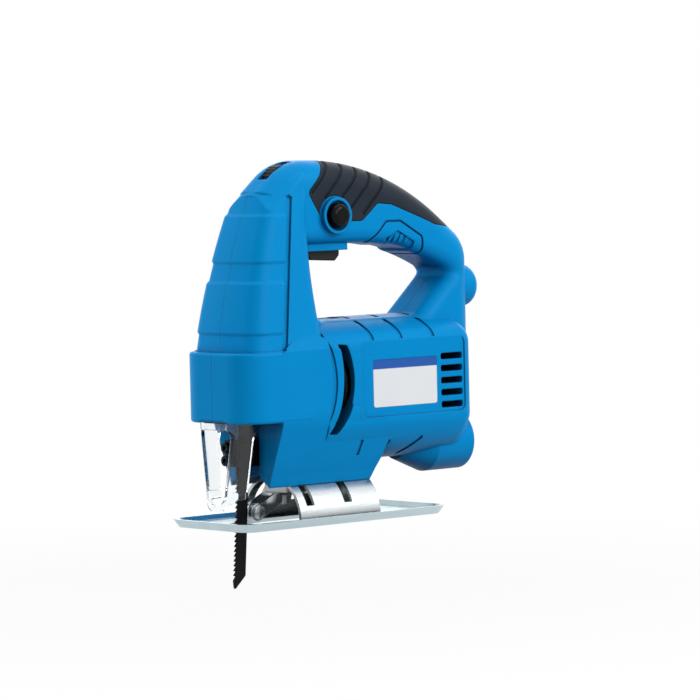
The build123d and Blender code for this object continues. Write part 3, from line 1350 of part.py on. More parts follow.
with BuildPart() as speed_dial:
    add(rod_y(DIAL_R, DIAL_X, DIAL_Z, -DIAL_HALF, DIAL_HALF))
    with BuildSketch(Plane.XZ):
        with Locations((DIAL_X, DIAL_Z)):
            with PolarLocations(DIAL_R, DIAL_NOTCHES):
                Circle(DIAL_NOTCH_R)
    extrude(amount=DIAL_HALF, both=True, mode=Mode.SUBTRACT)
    add(rod_y(DIAL_AXLE_R, DIAL_X, DIAL_Z, -DIAL_AXLE_HALF, DIAL_AXLE_HALF))

with BuildPart() as switch_body:
    add(block(SWITCH_FRONT, SWITCH_REAR, SWITCH_HALF, SWITCH_LOW, SWITCH_TOP))

with BuildPart() as speed_module:
    add(block(MODULE_FRONT, MODULE_REAR, MODULE_HALF, MODULE_LOW, MODULE_TOP))

# Port liner, cord bush and housing screws
with BuildPart() as dust_tube:
    add(rod_x(PORT_BORE_R + PORT_LINER, PORT_FRONT, PORT_REAR, PORT_Z))
    add(rod_x(PORT_BORE_R, PORT_FRONT, PORT_REAR, PORT_Z), mode=Mode.SUBTRACT)

with BuildPart() as cord_bush:
    add(rod_x(CORD_R + CORD_BUSH_WALL, BOSS_REAR - CORD_BUSH_LONG, BOSS_REAR, BOSS_Z))
    add(rod_x(BOSS_R - BOSS_ROUND, BOSS_REAR, BOSS_REAR + CORD_BUSH_LIP, BOSS_Z))
    add(rod_x(CORD_R, BOSS_REAR - CORD_BUSH_LONG, BOSS_REAR + CORD_BUSH_LIP, BOSS_Z), mode=Mode.SUBTRACT)

with BuildPart() as housing_screws:
    for x, z in SCREW_SPOTS:
        add(rod_y(SCREW_R, x, z, SCREW_SEAT_Y - SCREW_LONG, SCREW_SEAT_Y))
        add(rod_y(SCREW_HEAD_R, x, z, SCREW_SEAT_Y, SCREW_SEAT_Y + SCREW_HEAD))
        with BuildSketch(Plane.XZ.offset(-SCREW_SEAT_Y - SCREW_HEAD)):
            with Locations((x, z)):
                Rectangle(SCREW_HEAD_R, SCREW_R / 2)
                Rectangle(SCREW_R / 2, SCREW_HEAD_R)
        extrude(amount=SCREW_HEAD / 2, mode=Mode.SUBTRACT)

pieces = {
    "housing_left": housing_left,
    "housing_right": housing_right,
    "grip_left": grip_left,
    "grip_right": grip_right,
    "label_plate": label_plate,
    "blade_guard": blade_guard,
    "sole_plate": sole_plate,
    "bevel_saddle": bevel_saddle,
    "saddle_clamp": saddle_clamp,
    "saddle_screws": saddle_screws,
    "roller_fork": roller_fork,
    "roller_pin": roller_pin,
    "guide_roller": guide_roller,
    "blade": blade,
    "blade_clamp": blade_clamp,
    "clamp_screws": clamp_screws,
    "plunger": plunger,
    "crank_roller": crank_roller,
    "plunger_bush_lower": plunger_bush_lower,
    "plunger_bush_upper": plunger_bush_upper,
    "pinion": pinion,
    "drive_gear": drive_gear,
    "gear_axle": gear_axle,
    "gear_plate": gear_plate,
    "armature_shaft": armature_shaft,
    "armature_core": armature_core,
    "armature_winding": armature_winding,
    "commutator": commutator,
    "cooling_fan": cooling_fan,
    "front_bearing": front_bearing,
    "rear_bearing": rear_bearing,
    "field_core": field_core,
    "field_coils": field_coils,
    "brush_holders": brush_holders,
    "carbon_brushes": carbon_brushes,
    "trigger": trigger,
    "lock_button": lock_button,
    "speed_dial": speed_dial,
    "switch_body": switch_body,
    "speed_module": speed_module,
    "dust_tube": dust_tube,
    "cord_bush": cord_bush,
    "housing_screws": housing_screws,
}
for name, piece in pieces.items():
    piece.part.label = name
    export_step(piece.part, f"parts/{name}.step")
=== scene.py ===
# %% [markdown]
# # A corded jigsaw with a D-handle
# The solids of this jigsaw already carry its true shapes. This lesson dresses them: it gives each
# piece the finish of its real material, adds the small parts that are too fine for the solids, and
# sets the studio. Everything is in metres, with +X to the tool's rear, +Y to its right and +Z up.

# %% Load the frame
import bpy
import json
import math
from mathutils import Matrix, Vector


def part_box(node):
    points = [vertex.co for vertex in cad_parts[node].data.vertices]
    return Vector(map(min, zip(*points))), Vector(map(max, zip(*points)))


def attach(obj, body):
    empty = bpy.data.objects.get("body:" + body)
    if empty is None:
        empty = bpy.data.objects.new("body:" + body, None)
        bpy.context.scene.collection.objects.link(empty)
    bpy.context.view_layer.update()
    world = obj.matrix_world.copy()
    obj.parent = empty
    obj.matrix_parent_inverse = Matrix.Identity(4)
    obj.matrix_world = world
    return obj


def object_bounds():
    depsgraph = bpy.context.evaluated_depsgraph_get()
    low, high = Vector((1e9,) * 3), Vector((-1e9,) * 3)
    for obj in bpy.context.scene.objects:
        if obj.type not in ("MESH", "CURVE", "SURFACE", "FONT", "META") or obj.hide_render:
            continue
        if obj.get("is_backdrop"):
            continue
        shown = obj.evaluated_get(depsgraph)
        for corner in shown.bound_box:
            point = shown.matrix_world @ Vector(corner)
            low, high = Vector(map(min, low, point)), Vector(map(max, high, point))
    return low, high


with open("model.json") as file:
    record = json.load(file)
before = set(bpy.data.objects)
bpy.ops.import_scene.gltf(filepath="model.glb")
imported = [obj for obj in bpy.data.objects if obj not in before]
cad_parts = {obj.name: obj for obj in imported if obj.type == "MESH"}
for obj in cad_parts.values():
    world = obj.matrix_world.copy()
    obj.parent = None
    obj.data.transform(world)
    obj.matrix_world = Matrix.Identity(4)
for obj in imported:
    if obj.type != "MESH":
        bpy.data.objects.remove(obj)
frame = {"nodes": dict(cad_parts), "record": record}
cad_bounds = [list(corner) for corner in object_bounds()]
bpy.ops.object.select_all(action="DESELECT")
bpy.context.scene.view_settings.view_transform = "Standard"

# %% [markdown]
# ## Camera
# A product photo is taken with a long lens from far away, so lines stay nearly parallel. The camera
# stands in front of the tool on its left, a little above the sole, and is rolled slightly in its own
# plane. It could be placed by hand and aimed by a constraint. Here its axes are worked out from its
# angles and written as one matrix, because that gives the same view every time.

# %% Axes of the camera
CAMERA_TURN = math.radians(41.15)
CAMERA_RISE = math.radians(3.04)
CAMERA_ROLL = -0.0231  # radians

back = Vector(
    (
        -math.sin(CAMERA_TURN) * math.cos(CAMERA_RISE),
        -math.cos(CAMERA_TURN) * math.cos(CAMERA_RISE),
        math.sin(CAMERA_RISE),
    )
)
level = Vector((math.cos(CAMERA_TURN), -math.sin(CAMERA_TURN), 0))
upright = back.cross(level)
right = math.cos(CAMERA_ROLL) * level + math.sin(CAMERA_ROLL) * upright
up = math.cos(CAMERA_ROLL) * upright - math.sin(CAMERA_ROLL) * level
print("the camera looks along", [round(-v, 3) for v in back])

# %% Camera
FRAME_PIXELS = 700
FOCUS_PIXELS = 4163
CAMERA_DISTANCE = 2.25
ORIGIN_PIXEL = (241, 527)  # where the blade's line meets the sole in the picture
SENSOR_MM = 36

off_right = (ORIGIN_PIXEL[0] - FRAME_PIXELS / 2) / FOCUS_PIXELS * CAMERA_DISTANCE
off_up = (FRAME_PIXELS / 2 - ORIGIN_PIXEL[1]) / FOCUS_PIXELS * CAMERA_DISTANCE
stand = back * CAMERA_DISTANCE - right * off_right - up * off_up
turn = Matrix((right, up, back)).transposed().to_4x4()
bpy.ops.object.camera_add()
camera = bpy.context.object
camera.data.sensor_width = SENSOR_MM
camera.data.lens = SENSOR_MM * FOCUS_PIXELS / FRAME_PIXELS
camera.matrix_world = Matrix.Translation(stand) @ turn
bpy.context.scene.camera = camera
print("camera at", [round(v, 3) for v in camera.matrix_world.translation])

# %% [markdown]
# ## Lamps
# A studio lights such a tool through large soft boxes, so its shadows are faint and its highlights
# wide. Point lamps would give small hard spots instead. Six area lamps are used here, all aimed at the
# middle of the tool. Two of them only fill the shaded sides, so they are kept out of reflections.

# %% Lamps
LAMPS = (
    # name as seen in the picture, place, size, power
    ("left", (-0.7, 1.8, 0.8), 1.2, 22),
    ("side", (0.8, -1.65, 1.25), 1.1, 18),
    ("front", (-0.3, -1.9, 1.0), 1.0, 11),
    ("nose", (-1.7, 0.9, 0.7), 1.0, 4),
    ("top", (0.1, 0.0, 1.75), 1.2, 5),
    ("back", (1.3, 0.9, 0.9), 1.2, 9),
)
FILL_LAMPS = ("left", "nose")
AIM = Vector((0.06, 0, 0.09))
for name, place, size, power in LAMPS:
    bpy.ops.object.light_add(type="AREA", location=place)
    lamp = bpy.context.object
    lamp.name = "lamp_" + name
    lamp.data.size = size
    lamp.data.energy = power
    lamp.visible_glossy = name not in FILL_LAMPS
    lamp.rotation_euler = (AIM - Vector(place)).to_track_quat("-Z", "Y").to_euler()
print("lamps:", len(LAMPS), "of which only fill:", len(FILL_LAMPS))

# %% [markdown]
# ## Colours and nodes
# Every surface below is a small tree of nodes. The trees could be drawn by hand in the shader editor.
# Here one function adds a node, sets it and links it, so a tree reads from top to bottom. Colours are
# written as they look on a screen and turned into the linear values that a renderer adds up.


# %% Helpers for colours and nodes
def hex_linear(code):
    """A colour written as sRGB hex, as linear values with full opacity."""
    values = [int(code[i : i + 2], 16) / 255 for i in (1, 3, 5)]
    return [v / 12.92 if v <= 0.04045 else ((v + 0.055) / 1.055) ** 2.4 for v in values] + [1.0]


def add_node(material, kind, settings=None, links=None):
    """Add one node: settings go to its properties or input sockets, links join its inputs."""
    tree = material.node_tree
    node = tree.nodes.new(kind)
    for key, value in (settings or {}).items():
        if isinstance(key, str) and hasattr(node, key) and key not in node.inputs:
            setattr(node, key, value)
        else:
            node.inputs[key].default_value = value
    for key, source in (links or {}).items():
        tree.links.new(source, node.inputs[key])
    return node


print("mid grey #808080 is", round(hex_linear("#808080")[0], 3), "in linear light")

# %% [markdown]
# ## White surroundings
# Catalogue pictures are taken in front of plain white paper. A world that is white for every ray would
# flood the tool with light and flatten its form. So the world is white only for rays that are seen,
# directly, in a reflection or through the clear guard, and it lights the tool with a dim grey.

# %% World
WHITE = (1, 1, 1, 1)
WORLD_GREY = 0.3


def seen_share(material):
    """One for rays that show the surface, also mirrored or through glass, and nought for the rest."""
    rays = add_node(material, "ShaderNodeLightPath")
    seen = rays.outputs["Is Camera Ray"]
    for ray in ("Is Glossy Ray", "Is Transmission Ray"):
        either = {0: seen, 1: rays.outputs[ray]}
        seen = add_node(material, "ShaderNodeMath", {"operation": "MAXIMUM"}, either).outputs[0]
    return seen


world = bpy.data.worlds.new("white_studio")
bpy.context.scene.world = world
world.use_nodes = True
world.node_tree.nodes.clear()
strength = add_node(
    world,
    "ShaderNodeMapRange",
    {"To Min": WORLD_GREY, "To Max": 1.0},
    {"Value": seen_share(world)},
)
sky = add_node(world, "ShaderNodeBackground", {"Color": WHITE}, {"Strength": strength.outputs[0]})
add_node(world, "ShaderNodeOutputWorld", links={"Surface": sky.outputs[0]})
print("world nodes:", len(world.node_tree.nodes))

# %% [markdown]
# ## Floor
# The sheet of paper lies just under the blade's tip. Lamps alone would leave it greyer than the ground
# behind it. So it mostly glows white by itself where it is seen, and wholly so away from the tool. The
# small rest is a matt surface, which takes a faint shadow.

# %% Paper
FLOOR_WHITE = 0.95
FLOOR_NEAR = 0.15
FLOOR_FAR = 0.45

paper = bpy.data.materials.new("Matt white paper")
paper.use_nodes = True
paper.node_tree.nodes.clear()
spot = add_node(paper, "ShaderNodeTexCoord").outputs["Object"]
reach = add_node(paper, "ShaderNodeVectorMath", {"operation": "LENGTH"}, {0: spot})
white = add_node(
    paper,
    "ShaderNodeMapRange",
    {"From Min": FLOOR_NEAR, "From Max": FLOOR_FAR, "To Min": FLOOR_WHITE, "To Max": 1.0},
    {"Value": reach.outputs["Value"]},
)
share = add_node(
    paper,
    "ShaderNodeMath",
    {"operation": "MULTIPLY"},
    {0: seen_share(paper), 1: white.outputs[0]},
)
matt = add_node(paper, "ShaderNodeBsdfDiffuse", {"Color": hex_linear("#A8A8A8")})
glow = add_node(paper, "ShaderNodeEmission", {"Color": WHITE, "Strength": 1.0})
either = {0: share.outputs[0], 1: matt.outputs[0], 2: glow.outputs[0]}
mix = add_node(paper, "ShaderNodeMixShader", links=either)
add_node(paper, "ShaderNodeOutputMaterial", links={"Surface": mix.outputs[0]})
print("paper nodes:", len(paper.node_tree.nodes))

# %% Floor
MM = 0.001
FLOOR_SIZE = 8
FLOOR_Z = cad_bounds[0][2] - 0.5 * MM

bpy.ops.mesh.primitive_plane_add(size=FLOOR_SIZE, location=(0, 0, FLOOR_Z))
floor = bpy.context.object
floor.name = "floor"
floor.data.materials.append(paper)
floor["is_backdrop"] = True
print("floor at", round(FLOOR_Z / MM, 1), "mm")

# %% [markdown]
# ## Finishes
# Each finish starts from what the real material is and how its surface was made. Pictures of real
# surfaces could be wrapped around the pieces. Noise on object coordinates was chosen, because it needs
# no unwrapping and keeps its size in millimetres on every piece. A Bevel node rounds the shading of
# sharp edges by about a millimetre or less, as moulding and tumbling do on the real pieces.

# %% Start of a finish
EDGE_RADIUS = 0.7 * MM
EDGE_SAMPLES = 4
finishes = {}


def start_finish(name, roughness, metallic=0.0, edge=EDGE_RADIUS):
    """A new material with its shader, object coordinates and softened edges."""
    material = bpy.data.materials.new(name)
    material.use_nodes = True
    material.node_tree.nodes.clear()
    place = add_node(material, "ShaderNodeTexCoord").outputs["Object"]
    bevel = {"samples": EDGE_SAMPLES, "Radius": edge}
    soft = add_node(material, "ShaderNodeBevel", bevel).outputs[0]
    shader = add_node(
        material,
        "ShaderNodeBsdfPrincipled",
        {"Roughness": roughness, "Metallic": metallic},
        {"Normal": soft},
    )
    add_node(material, "ShaderNodeOutputMaterial", links={"Surface": shader.outputs[0]})
    return material, shader, place, soft


def keep_finish(slot, material):
    """Keep a finish under the slot that it serves."""
    finishes[slot] = material
    print("finish of", slot + ":", material.name)


# %% [markdown]
# ### Tone, grain and gloss
# No moulded or rolled surface is perfectly even. Its colour drifts a little over some centimetres, a
# fine grain breaks up the highlights, and the gloss follows the grain. Each of these is a noise of its
# own size. A stretched noise gives the lines of rolled or drawn metal.

# %% Tone
# Sockets of a Mix node for colours: how much of the upper one, the lower, the upper and the result.
HOW_MUCH, LOWER, UPPER, MIXED = 0, 6, 7, 2
EVEN = (1, 1, 1)


def two_tones(material, shader, place, size_mm, low, high, stretch=EVEN):
    """Let the colour wander between two tones, in patches of about the given size."""
    spot = add_node(material, "ShaderNodeMapping", {"Scale": stretch}, {"Vector": place})
    noise = add_node(
        material,
        "ShaderNodeTexNoise",
        {"Scale": 1 / (size_mm * MM), "Detail": 3.0},
        {"Vector": spot.outputs[0]},
    )
    tone = add_node(
        material,
        "ShaderNodeMix",
        {"data_type": "RGBA", LOWER: hex_linear(low), UPPER: hex_linear(high)},
        {HOW_MUCH: noise.outputs[0]},
    )
    material.node_tree.links.new(tone.outputs[MIXED], shader.inputs["Base Color"])
    return tone


# %% Grain and gloss
def grain(material, shader, place, soft, size_mm, height_mm, stretch=EVEN):
    """Raise a fine grain on the surface, on top of the softened edges."""
    spot = add_node(material, "ShaderNodeMapping", {"Scale": stretch}, {"Vector": place})
    noise = add_node(
        material,
        "ShaderNodeTexNoise",
        {"Scale": 1 / (size_mm * MM), "Detail": 2.0},
        {"Vector": spot.outputs[0]},
    )
    bump = add_node(
        material,
        "ShaderNodeBump",
        {"Strength": 1.0, "Distance": height_mm * MM},
        {"Height": noise.outputs[0], "Normal": soft},
    )
    material.node_tree.links.new(bump.outputs[0], shader.inputs["Normal"])
    return noise


def gloss_range(material, shader, noise, low, high):
    """Let the roughness follow a noise between two values."""
    rough = add_node(
        material,
        "ShaderNodeMapRange",
        {"To Min": low, "To Max": high},
        {"Value": noise.outputs[0]},
    )
    material.node_tree.links.new(rough.outputs[0], shader.inputs["Roughness"])


# %% [markdown]
# ### Painted shade in sheltered places
# Corners, and faces that stand close to others, get less light. This shade is painted into the colour.
# It could be painted by hand on each piece. The Ambient Occlusion node was chosen, because it measures
# how much of its surroundings a face can see and so finds these places by itself.

# %% Painted shade in sheltered places
SHELTER_SAMPLES = 6
SHELTER_DEEP = 0.3  # with this much of its surroundings in view, a face is at its darkest


def paint_sheltered_shade(material, shader, tone, shade_colour, reach_mm, open_share, most):
    """Paint shade: blend the tone towards a darker one where other faces within reach shelter the
    surface.
    """
    view = add_node(
        material,
        "ShaderNodeAmbientOcclusion",
        {"samples": SHELTER_SAMPLES, "Distance": reach_mm * MM},
    )
    depth = add_node(
        material,
        "ShaderNodeMapRange",
        {"From Min": open_share, "From Max": SHELTER_DEEP, "To Min": 0.0, "To Max": most},
        {"Value": view.outputs["AO"]},
    )
    shade_mix = add_node(
        material,
        "ShaderNodeMix",
        {"data_type": "RGBA", UPPER: hex_linear(shade_colour)},
        {HOW_MUCH: depth.outputs[0], LOWER: tone.outputs[MIXED]},
    )
    material.node_tree.links.new(shade_mix.outputs[MIXED], shader.inputs["Base Color"])


# %% [markdown]
# ### Moulded ABS, azure
# The two halves are injection moulded in through-coloured ABS. The steel mould is spark eroded, which
# leaves a fine even grain and a satin gloss. The edges carry a painted highlight: they are coloured a
# little lighter where the softened normal differs from the true one. A hairline marks the middle plane
# where the halves meet. It is only a change of colour, since it is too fine to model. Sheltered faces
# get painted shade towards a deep blue.

# %% Azure ABS: tone and grain
abs_blue, shader, place, soft = start_finish("Moulded ABS azure", 0.4, edge=1.2 * MM)
shader.inputs["Specular IOR Level"].default_value = 0.06
tone = two_tones(abs_blue, shader, place, 30, "#0090D8", "#0098DF")
noise = grain(abs_blue, shader, place, soft, 0.8, 0.02)  # coarser than real grain, so that it shows
gloss_range(abs_blue, shader, noise, 0.36, 0.46)
print("tone and grain:", len(abs_blue.node_tree.nodes), "nodes")

# %% Azure ABS: painted edge highlight
# painted highlight: edges are coloured lighter where the softened normal turns away from the true one
FLAT_COSINE, SHARP_COSINE = 0.995, 0.93
EDGE_HIGHLIGHT = 0.55
true_normal = add_node(abs_blue, "ShaderNodeNewGeometry").outputs["Normal"]
both = {0: soft, 1: true_normal}
bend = add_node(abs_blue, "ShaderNodeVectorMath", {"operation": "DOT_PRODUCT"}, both)
edge_highlight = add_node(
    abs_blue,
    "ShaderNodeMapRange",
    {"From Min": FLAT_COSINE, "From Max": SHARP_COSINE, "To Min": 0.0, "To Max": EDGE_HIGHLIGHT},
    {"Value": bend.outputs["Value"]},
)
# the lighter azure of the painted edge highlight
lit = add_node(
    abs_blue,
    "ShaderNodeMix",
    {"data_type": "RGBA", UPPER: hex_linear("#1C9BE2")},
    {HOW_MUCH: edge_highlight.outputs[0], LOWER: tone.outputs[MIXED]},
)
# the lighter edges are a painted highlight
print("with polished edges:", len(abs_blue.node_tree.nodes), "nodes")

# %% Azure ABS: hairline and painted shade
HAIRLINE = 0.12 * MM
HAIRLINE_DARK = 0.15
across = add_node(abs_blue, "ShaderNodeSeparateXYZ", links={0: place})
near = add_node(abs_blue, "ShaderNodeMath", {"operation": "ABSOLUTE"}, {0: across.outputs["Y"]})
seam = add_node(
    abs_blue,
    "ShaderNodeMapRange",
    {"From Min": HAIRLINE, "From Max": 2 * HAIRLINE, "To Min": HAIRLINE_DARK, "To Max": 0.0},
    {"Value": near.outputs[0]},
)
joined = add_node(
    abs_blue,
    "ShaderNodeMix",
    {"data_type": "RGBA", UPPER: hex_linear("#00406C")},
    {HOW_MUCH: seam.outputs[0], LOWER: lit.outputs[MIXED]},
)
# painted shade: faces sheltered by the body, such as the skirt's front and the hand hole, darken towards
# deep blue
paint_sheltered_shade(abs_blue, shader, joined, "#002F52", reach_mm=80, open_share=0.82, most=0.9)
keep_finish("blue_plastic", abs_blue)

# %% [markdown]
# ### Overmoulded soft grip
# The grip is a thermoplastic rubber moulded over the shell. It is charcoal and nearly matt, and its
# fine pebble catches the light at grazing angles. The pebble could be modelled, but it is far smaller
# than a millimetre. A bump and a little sheen give the same look.

# %% Charcoal soft grip
tpe, shader, place, soft = start_finish("Overmoulded thermoplastic rubber", 0.6)
shader.inputs["Specular IOR Level"].default_value = 0.15
two_tones(tpe, shader, place, 14, "#18222C", "#212C38")
noise = grain(tpe, shader, place, soft, 0.9, 0.05)
gloss_range(tpe, shader, noise, 0.52, 0.68)
shader.inputs["Sheen Weight"].default_value = 0.12
shader.inputs["Sheen Roughness"].default_value = 0.4
keep_finish("grip_rubber", tpe)

# %% [markdown]
# ### Polyester label film
# The label place keeps its film, bare apart from a plain blue band along its top. The band could be a
# strip of its own, but ink has no thickness to see. So it is a change of colour at a height on the
# tool, under the thin clear coat that seals the film.

# %% Label film
BAND_FROM, BAND_TO = 81.8 * MM, 82.1 * MM
film, shader, place, soft = start_finish("Polyester label film", 0.28, edge=0.2 * MM)
shader.inputs["Specular IOR Level"].default_value = 0.2
tone = two_tones(film, shader, place, 20, "#EDF1F6", "#F6F8FB")
high = add_node(film, "ShaderNodeSeparateXYZ", links={0: place})
band = add_node(
    film,
    "ShaderNodeMapRange",
    {"From Min": BAND_FROM, "From Max": BAND_TO},
    {"Value": high.outputs["Z"]},
)
inked = add_node(
    film,
    "ShaderNodeMix",
    {"data_type": "RGBA", UPPER: hex_linear("#0C5AB6")},
    {HOW_MUCH: band.outputs[0], LOWER: tone.outputs[MIXED]},
)
film.node_tree.links.new(inked.outputs[MIXED], shader.inputs["Base Color"])
shader.inputs["Coat Weight"].default_value = 0.3
shader.inputs["Coat Roughness"].default_value = 0.1
keep_finish("label_film", film)

# %% [markdown]
# ### Clear polycarbonate
# The chip guard is clear so that the cut can be seen. A see-through alpha would be quicker, but it
# bends no light. Transmission was chosen, because the rounded edges then gather reflections as the
# real ones do. A trace of flow marks keeps it from looking like window glass.

# %% Clear polycarbonate
clear, shader, place, soft = start_finish("Clear polycarbonate", 0.04, edge=0.6 * MM)
two_tones(clear, shader, place, 12, "#F2F8FB", "#FBFDFE")
shader.inputs["Transmission Weight"].default_value = 1.0
shader.inputs["IOR"].default_value = 1.36  # below the real 1.58, so that the thin edges stay light
noise = grain(clear, shader, place, soft, 9, 0.02)
gloss_range(clear, shader, noise, 0.02, 0.07)
keep_finish("clear_plastic", clear)

# %% [markdown]
# ### Plated and machined metals
# Sole and saddle are pressed from sheet and zinc plated. They are bright but not mirrors: rolling
# leaves faint lines along the sheet, and the plating has a soft cloudiness. The other metals were
# turned, ground, cut, cast, sintered or drawn. They could each have a cell, but they differ only in
# tone, gloss and grain, so one table and one loop serve them all.

# %% Table of the metals
ROLLED, DRAWN = (0.12, 1, 1), (0.15, 1, 1)
HONED, STACKED = (1, 1, 0.3), (1, 0.02, 0.02)
METALS = (
    # slot, name, dark tone, light tone, roughness low and high, grain mm, height mm, stretch
    ("plated_steel", "Bright zinc-plated sheet", "#A2B6BC", "#C8DADF", 0.14, 0.28, 1.6, 0.006, ROLLED),
    ("fork_steel", "Nickel-plated fork steel", "#A2A9AE", "#C4CACD", 0.1, 0.16, 2.0, 0.002, EVEN),
    ("saddle_steel", "Polished zinc-plated steel", "#C6CDD0", "#DEE3E5", 0.22, 0.34, 1.6, 0.002, ROLLED),
    ("bare_steel", "Turned bright steel", "#8E9296", "#B4B8BB", 0.22, 0.36, 0.6, 0.008, EVEN),
    ("bearing_steel", "Ground bearing steel", "#A9ADB0", "#C4C8CA", 0.14, 0.22, 0.5, 0.003, EVEN),
    ("screw_steel", "Zinc-plated screw steel", "#7C8084", "#A2A6A9", 0.28, 0.42, 0.7, 0.01, EVEN),
    ("gear_steel", "Cut gear steel", "#6E7174", "#8E9194", 0.3, 0.42, 0.6, 0.008, EVEN),
    ("black_steel", "Black oxide tool steel", "#131416", "#202225", 0.34, 0.5, 1.2, 0.02, HONED),
    ("lamination_steel", "Stacked silicon steel", "#4C4F53", "#6A6D71", 0.4, 0.55, 0.5, 0.05, STACKED),
    ("die_cast_alloy", "Die-cast aluminium", "#A4A7AA", "#BEC1C3", 0.4, 0.55, 1.0, 0.03, EVEN),
    ("sintered_bronze", "Sintered bronze", "#7A5C33", "#9A7A4A", 0.42, 0.6, 0.4, 0.02, EVEN),
    ("brass", "Pressed brass", "#A98A4C", "#C6A663", 0.24, 0.36, 0.8, 0.008, EVEN),
    ("copper", "Enamelled copper wire", "#7E3F1D", "#B4652F", 0.28, 0.44, 0.9, 0.12, DRAWN),
)
print("metals:", len(METALS))

# %% Metals
CLOUD_GRAINS = 8  # a patch of tone is this many times as wide as the grain
# sole and saddle get painted shade in their sheltered corners, towards a dark teal
SHADE_PAINTED_METALS = ("plated_steel", "saddle_steel")
for slot, name, dark, light, low, high, size_mm, height_mm, stretch in METALS:
    metal, shader, place, soft = start_finish(name, low, metallic=1.0, edge=0.3 * MM)
    tone = two_tones(metal, shader, place, CLOUD_GRAINS * size_mm, dark, light, stretch)
    if slot in SHADE_PAINTED_METALS:
        paint_sheltered_shade(metal, shader, tone, "#1A2426", reach_mm=25, open_share=0.75, most=0.9)
    noise = grain(metal, shader, place, soft, size_mm, height_mm, stretch)
    gloss_range(metal, shader, noise, low, high)
    keep_finish(slot, metal)

# %% [markdown]
# ### Black mouldings
# Trigger, dial and port liner are nylon with a dull gloss, the lock button is polished, the cord's
# bush is soft rubber and the brushes are pressed carbon. One black for all would make them run into
# each other. They differ in gloss more than in colour, so the table gives each a gloss of its own.

# %% Black mouldings
PATCH_GRAINS = 10
BLACKS = (
    # slot, name, dark tone, light tone, specular, roughness low and high, grain mm, height mm
    ("black_plastic", "Glass-filled nylon", "#121417", "#1B1E22", 0.25, 0.36, 0.5, 0.8, 0.02),
    ("gloss_black", "Polished black ABS", "#050607", "#08090A", 0.12, 0.06, 0.1, 3.0, 0.002),
    ("fan_plastic", "Moulded fan nylon", "#15171A", "#1E2125", 0.25, 0.42, 0.56, 0.9, 0.02),
    ("black_rubber", "Moulded black rubber", "#101113", "#1A1B1E", 0.25, 0.62, 0.78, 0.7, 0.04),
    ("carbon", "Pressed carbon", "#0E0E0F", "#1A1A1B", 0.25, 0.5, 0.7, 0.5, 0.03),
)
for slot, name, dark, light, specular, low, high, size_mm, height_mm in BLACKS:
    black, shader, place, soft = start_finish(name, low, edge=0.5 * MM)
    shader.inputs["Specular IOR Level"].default_value = specular
    two_tones(black, shader, place, PATCH_GRAINS * size_mm, dark, light)
    noise = grain(black, shader, place, soft, size_mm, height_mm)
    gloss_range(black, shader, noise, low, high)
    keep_finish(slot, black)

# %% [markdown]
# ## Dressing the solids
# Each solid takes the finish that the record names for it, so no name has to be typed twice. Three
# pieces get a brighter finish than that: the saddle's plating is polished, and the fork and its pin
# are nickel plated.

# %% Give every node its finish
BRIGHT_NODES = {
    "roller_fork": "fork_steel",
    "roller_pin": "fork_steel",
    "bevel_saddle": "saddle_steel",
}
for entry in frame["record"]["subparts"]:
    name = entry["node"]
    finish = BRIGHT_NODES.get(name, entry["material_slot"])
    for slot in frame["nodes"][name].material_slots:
        slot.material = finishes[finish]
print("finishes:", len(finishes), "on", len(frame["nodes"]), "nodes")

# %% [markdown]
# ## Small pieces
# A few pieces are too fine for the solids. They could be sculpted freely, but each is sheet or a low
# rib on the real tool. So each starts as a flat primitive, is shaped in edit mode, gets its wall and
# its soft edges from modifiers, and then rides on the body that carries it.

# %% Helpers for the small pieces
EDGE_SEGMENTS = 2
SMOOTH_ANGLE = math.radians(40)


def start_piece(name):
    """Name the primitive that was just added and put its place into its mesh."""
    piece = bpy.context.object
    piece.name = piece.data.name = name
    bpy.ops.object.transform_apply(location=True, rotation=True, scale=True)
    return piece


def end_piece(piece, body, slot, wall, wall_side, edge):
    """Give the piece its wall and rounded edges, then its finish and the body it rides on."""
    solid = piece.modifiers.new("wall", "SOLIDIFY")
    solid.thickness, solid.offset = wall, wall_side
    bpy.ops.object.modifier_apply(modifier=solid.name)
    soft = piece.modifiers.new("edge", "BEVEL")
    soft.width, soft.segments, soft.limit_method = edge, EDGE_SEGMENTS, "ANGLE"
    bpy.ops.object.modifier_apply(modifier=soft.name)
    bpy.ops.object.shade_smooth_by_angle(angle=SMOOTH_ANGLE)
    piece.data.materials.append(finishes[slot])
    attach(piece, body)
    print(piece.name, "faces:", len(piece.data.polygons))


# %% [markdown]
# ### End wall of the saddle
# The half-round saddle is closed at its rear by a pressed wall, which keeps the dust of the cut away
# from the clamp. It could be a cylinder cut down, but sheet is better made as sheet: a disc is cut in
# half by bisect, its middle is pressed in by inset, and Solidify gives it the thickness of the sheet.

# %% End wall of the saddle
saddle_low, saddle_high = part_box("bevel_saddle")
WALL_SHEET = 1.2 * MM
WALL_PRESS = 1.2 * MM
WALL_R = 22.9 * MM
WALL_X = saddle_high[0] - 2.5 * MM
TILT_Z = saddle_low[2]
bpy.ops.object.select_all(action="DESELECT")
bpy.ops.mesh.primitive_circle_add(
    vertices=96,
    radius=WALL_R,
    fill_type="NGON",
    location=(WALL_X, 0, TILT_Z),
    rotation=(0, math.pi / 2, 0),
)
end_wall = start_piece("saddle_end_wall")
bpy.ops.object.mode_set(mode="EDIT")
bpy.ops.mesh.select_all(action="SELECT")
bpy.ops.mesh.bisect(plane_co=(WALL_X, 0, TILT_Z), plane_no=(0, 0, 1), clear_inner=True)
bpy.ops.mesh.select_all(action="SELECT")
bpy.ops.mesh.inset(thickness=WALL_PRESS, depth=-WALL_PRESS)
bpy.ops.object.mode_set(mode="OBJECT")
end_piece(end_wall, "sole", "plated_steel", wall=WALL_SHEET, wall_side=0, edge=0.25 * MM)

# %% [markdown]
# ### Washers of the guide roller
# The roller's pin is riveted over a plain washer on each cheek of the fork. A torus would have the
# wrong section, since a washer is punched flat. So a disc is inset and its middle deleted, and the
# ring that is left gets its thickness on the outer side.

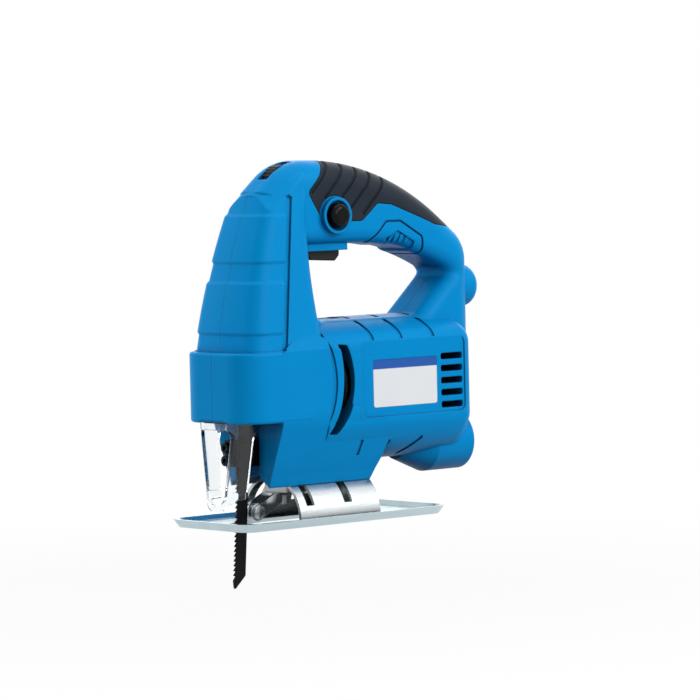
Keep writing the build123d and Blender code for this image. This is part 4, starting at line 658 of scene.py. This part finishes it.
# %% Washers of the guide roller
WASHER_R = 3.5 * MM
WASHER_RING = 1.05 * MM
WASHER_SHEET = 0.5 * MM
pin_low, pin_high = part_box("roller_pin")
_, fork_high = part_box("roller_fork")
pin_x, pin_z = (pin_low[0] + pin_high[0]) / 2, (pin_low[2] + pin_high[2]) / 2
for side, name in ((-1, "roller_washer_left"), (1, "roller_washer_right")):
    bpy.ops.object.select_all(action="DESELECT")
    bpy.ops.mesh.primitive_circle_add(
        vertices=48,
        radius=WASHER_R,
        fill_type="NGON",
        location=(pin_x, side * fork_high[1], pin_z),
        rotation=(-side * math.pi / 2, 0, 0),
    )
    washer = start_piece(name)
    bpy.ops.object.mode_set(mode="EDIT")
    bpy.ops.mesh.select_all(action="SELECT")
    bpy.ops.mesh.inset(thickness=WASHER_RING, depth=0)
    bpy.ops.mesh.delete(type="FACE")
    bpy.ops.object.mode_set(mode="OBJECT")
    end_piece(washer, "housing", "bearing_steel", wall=WASHER_SHEET, wall_side=1, edge=0.12 * MM)

# %% [markdown]
# ### Bars of the thumb pads
# Each thumb pad has four low bars that keep the thumb from slipping. Straight blocks would sink into
# the curved flank at one end and stand off at the other. So a flat grid for each bar is first
# projected on to the flank with Shrinkwrap and only then given its height.

# %% One bar of a thumb pad
BAR_WIDE = 1.9 * MM
BAR_LEAN = math.radians(7)
BAR_START = 30 * MM  # from the middle plane, outside the flank
SIDES = ((-1, "pad_bars_left", "housing_left"), (1, "pad_bars_right", "housing_right"))


def lay_bar(name, side, target, x, z, long):
    """Lay one flat bar on the flank of a half of the housing."""
    bpy.ops.object.select_all(action="DESELECT")
    bpy.ops.mesh.primitive_grid_add(
        x_subdivisions=6,
        y_subdivisions=12,
        size=1,
        location=(x, side * BAR_START, z),
        rotation=(-side * math.pi / 2, BAR_LEAN, 0),
    )
    bpy.context.object.scale = (BAR_WIDE, long, 1)
    bar = start_piece(name)
    fit = bar.modifiers.new("fit", "SHRINKWRAP")
    fit.wrap_method, fit.target, fit.use_project_y = "PROJECT", frame["nodes"][target], True
    fit.use_positive_direction, fit.use_negative_direction = side < 0, side > 0
    bpy.ops.object.modifier_apply(modifier=fit.name)
    return bar


# %% Bars of the thumb pads
BAR_HEIGHT = 1.0 * MM
BAR_SIDE = 0.3  # about two thirds of the height stand out of the flank
BARS = (
    # x, z and length in mm
    (98.6, 152.3, 2.4),
    (102.2, 152.8, 3.5),
    (106.0, 152.8, 4.0),
    (109.9, 151.9, 3.0),
)
for side, name, target in SIDES:
    bars = []
    for number, (x, z, long) in enumerate(BARS):
        bars.append(lay_bar(f"{name}_{number}", side, target, x * MM, z * MM, long * MM))
    for bar in bars:
        bar.select_set(True)
    bpy.ops.object.join()
    pad = start_piece(name)
    end_piece(pad, "housing", "blue_plastic", wall=BAR_HEIGHT, wall_side=BAR_SIDE, edge=0.3 * MM)

# %% [markdown]
# ## Sizes and end
# The dressed tool must be as large as its solids, so both boxes are put side by side.

# %% Sizes of the solids and of the dressed tool
size = {"cad": cad_bounds, "visual": [list(corner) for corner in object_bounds()]}
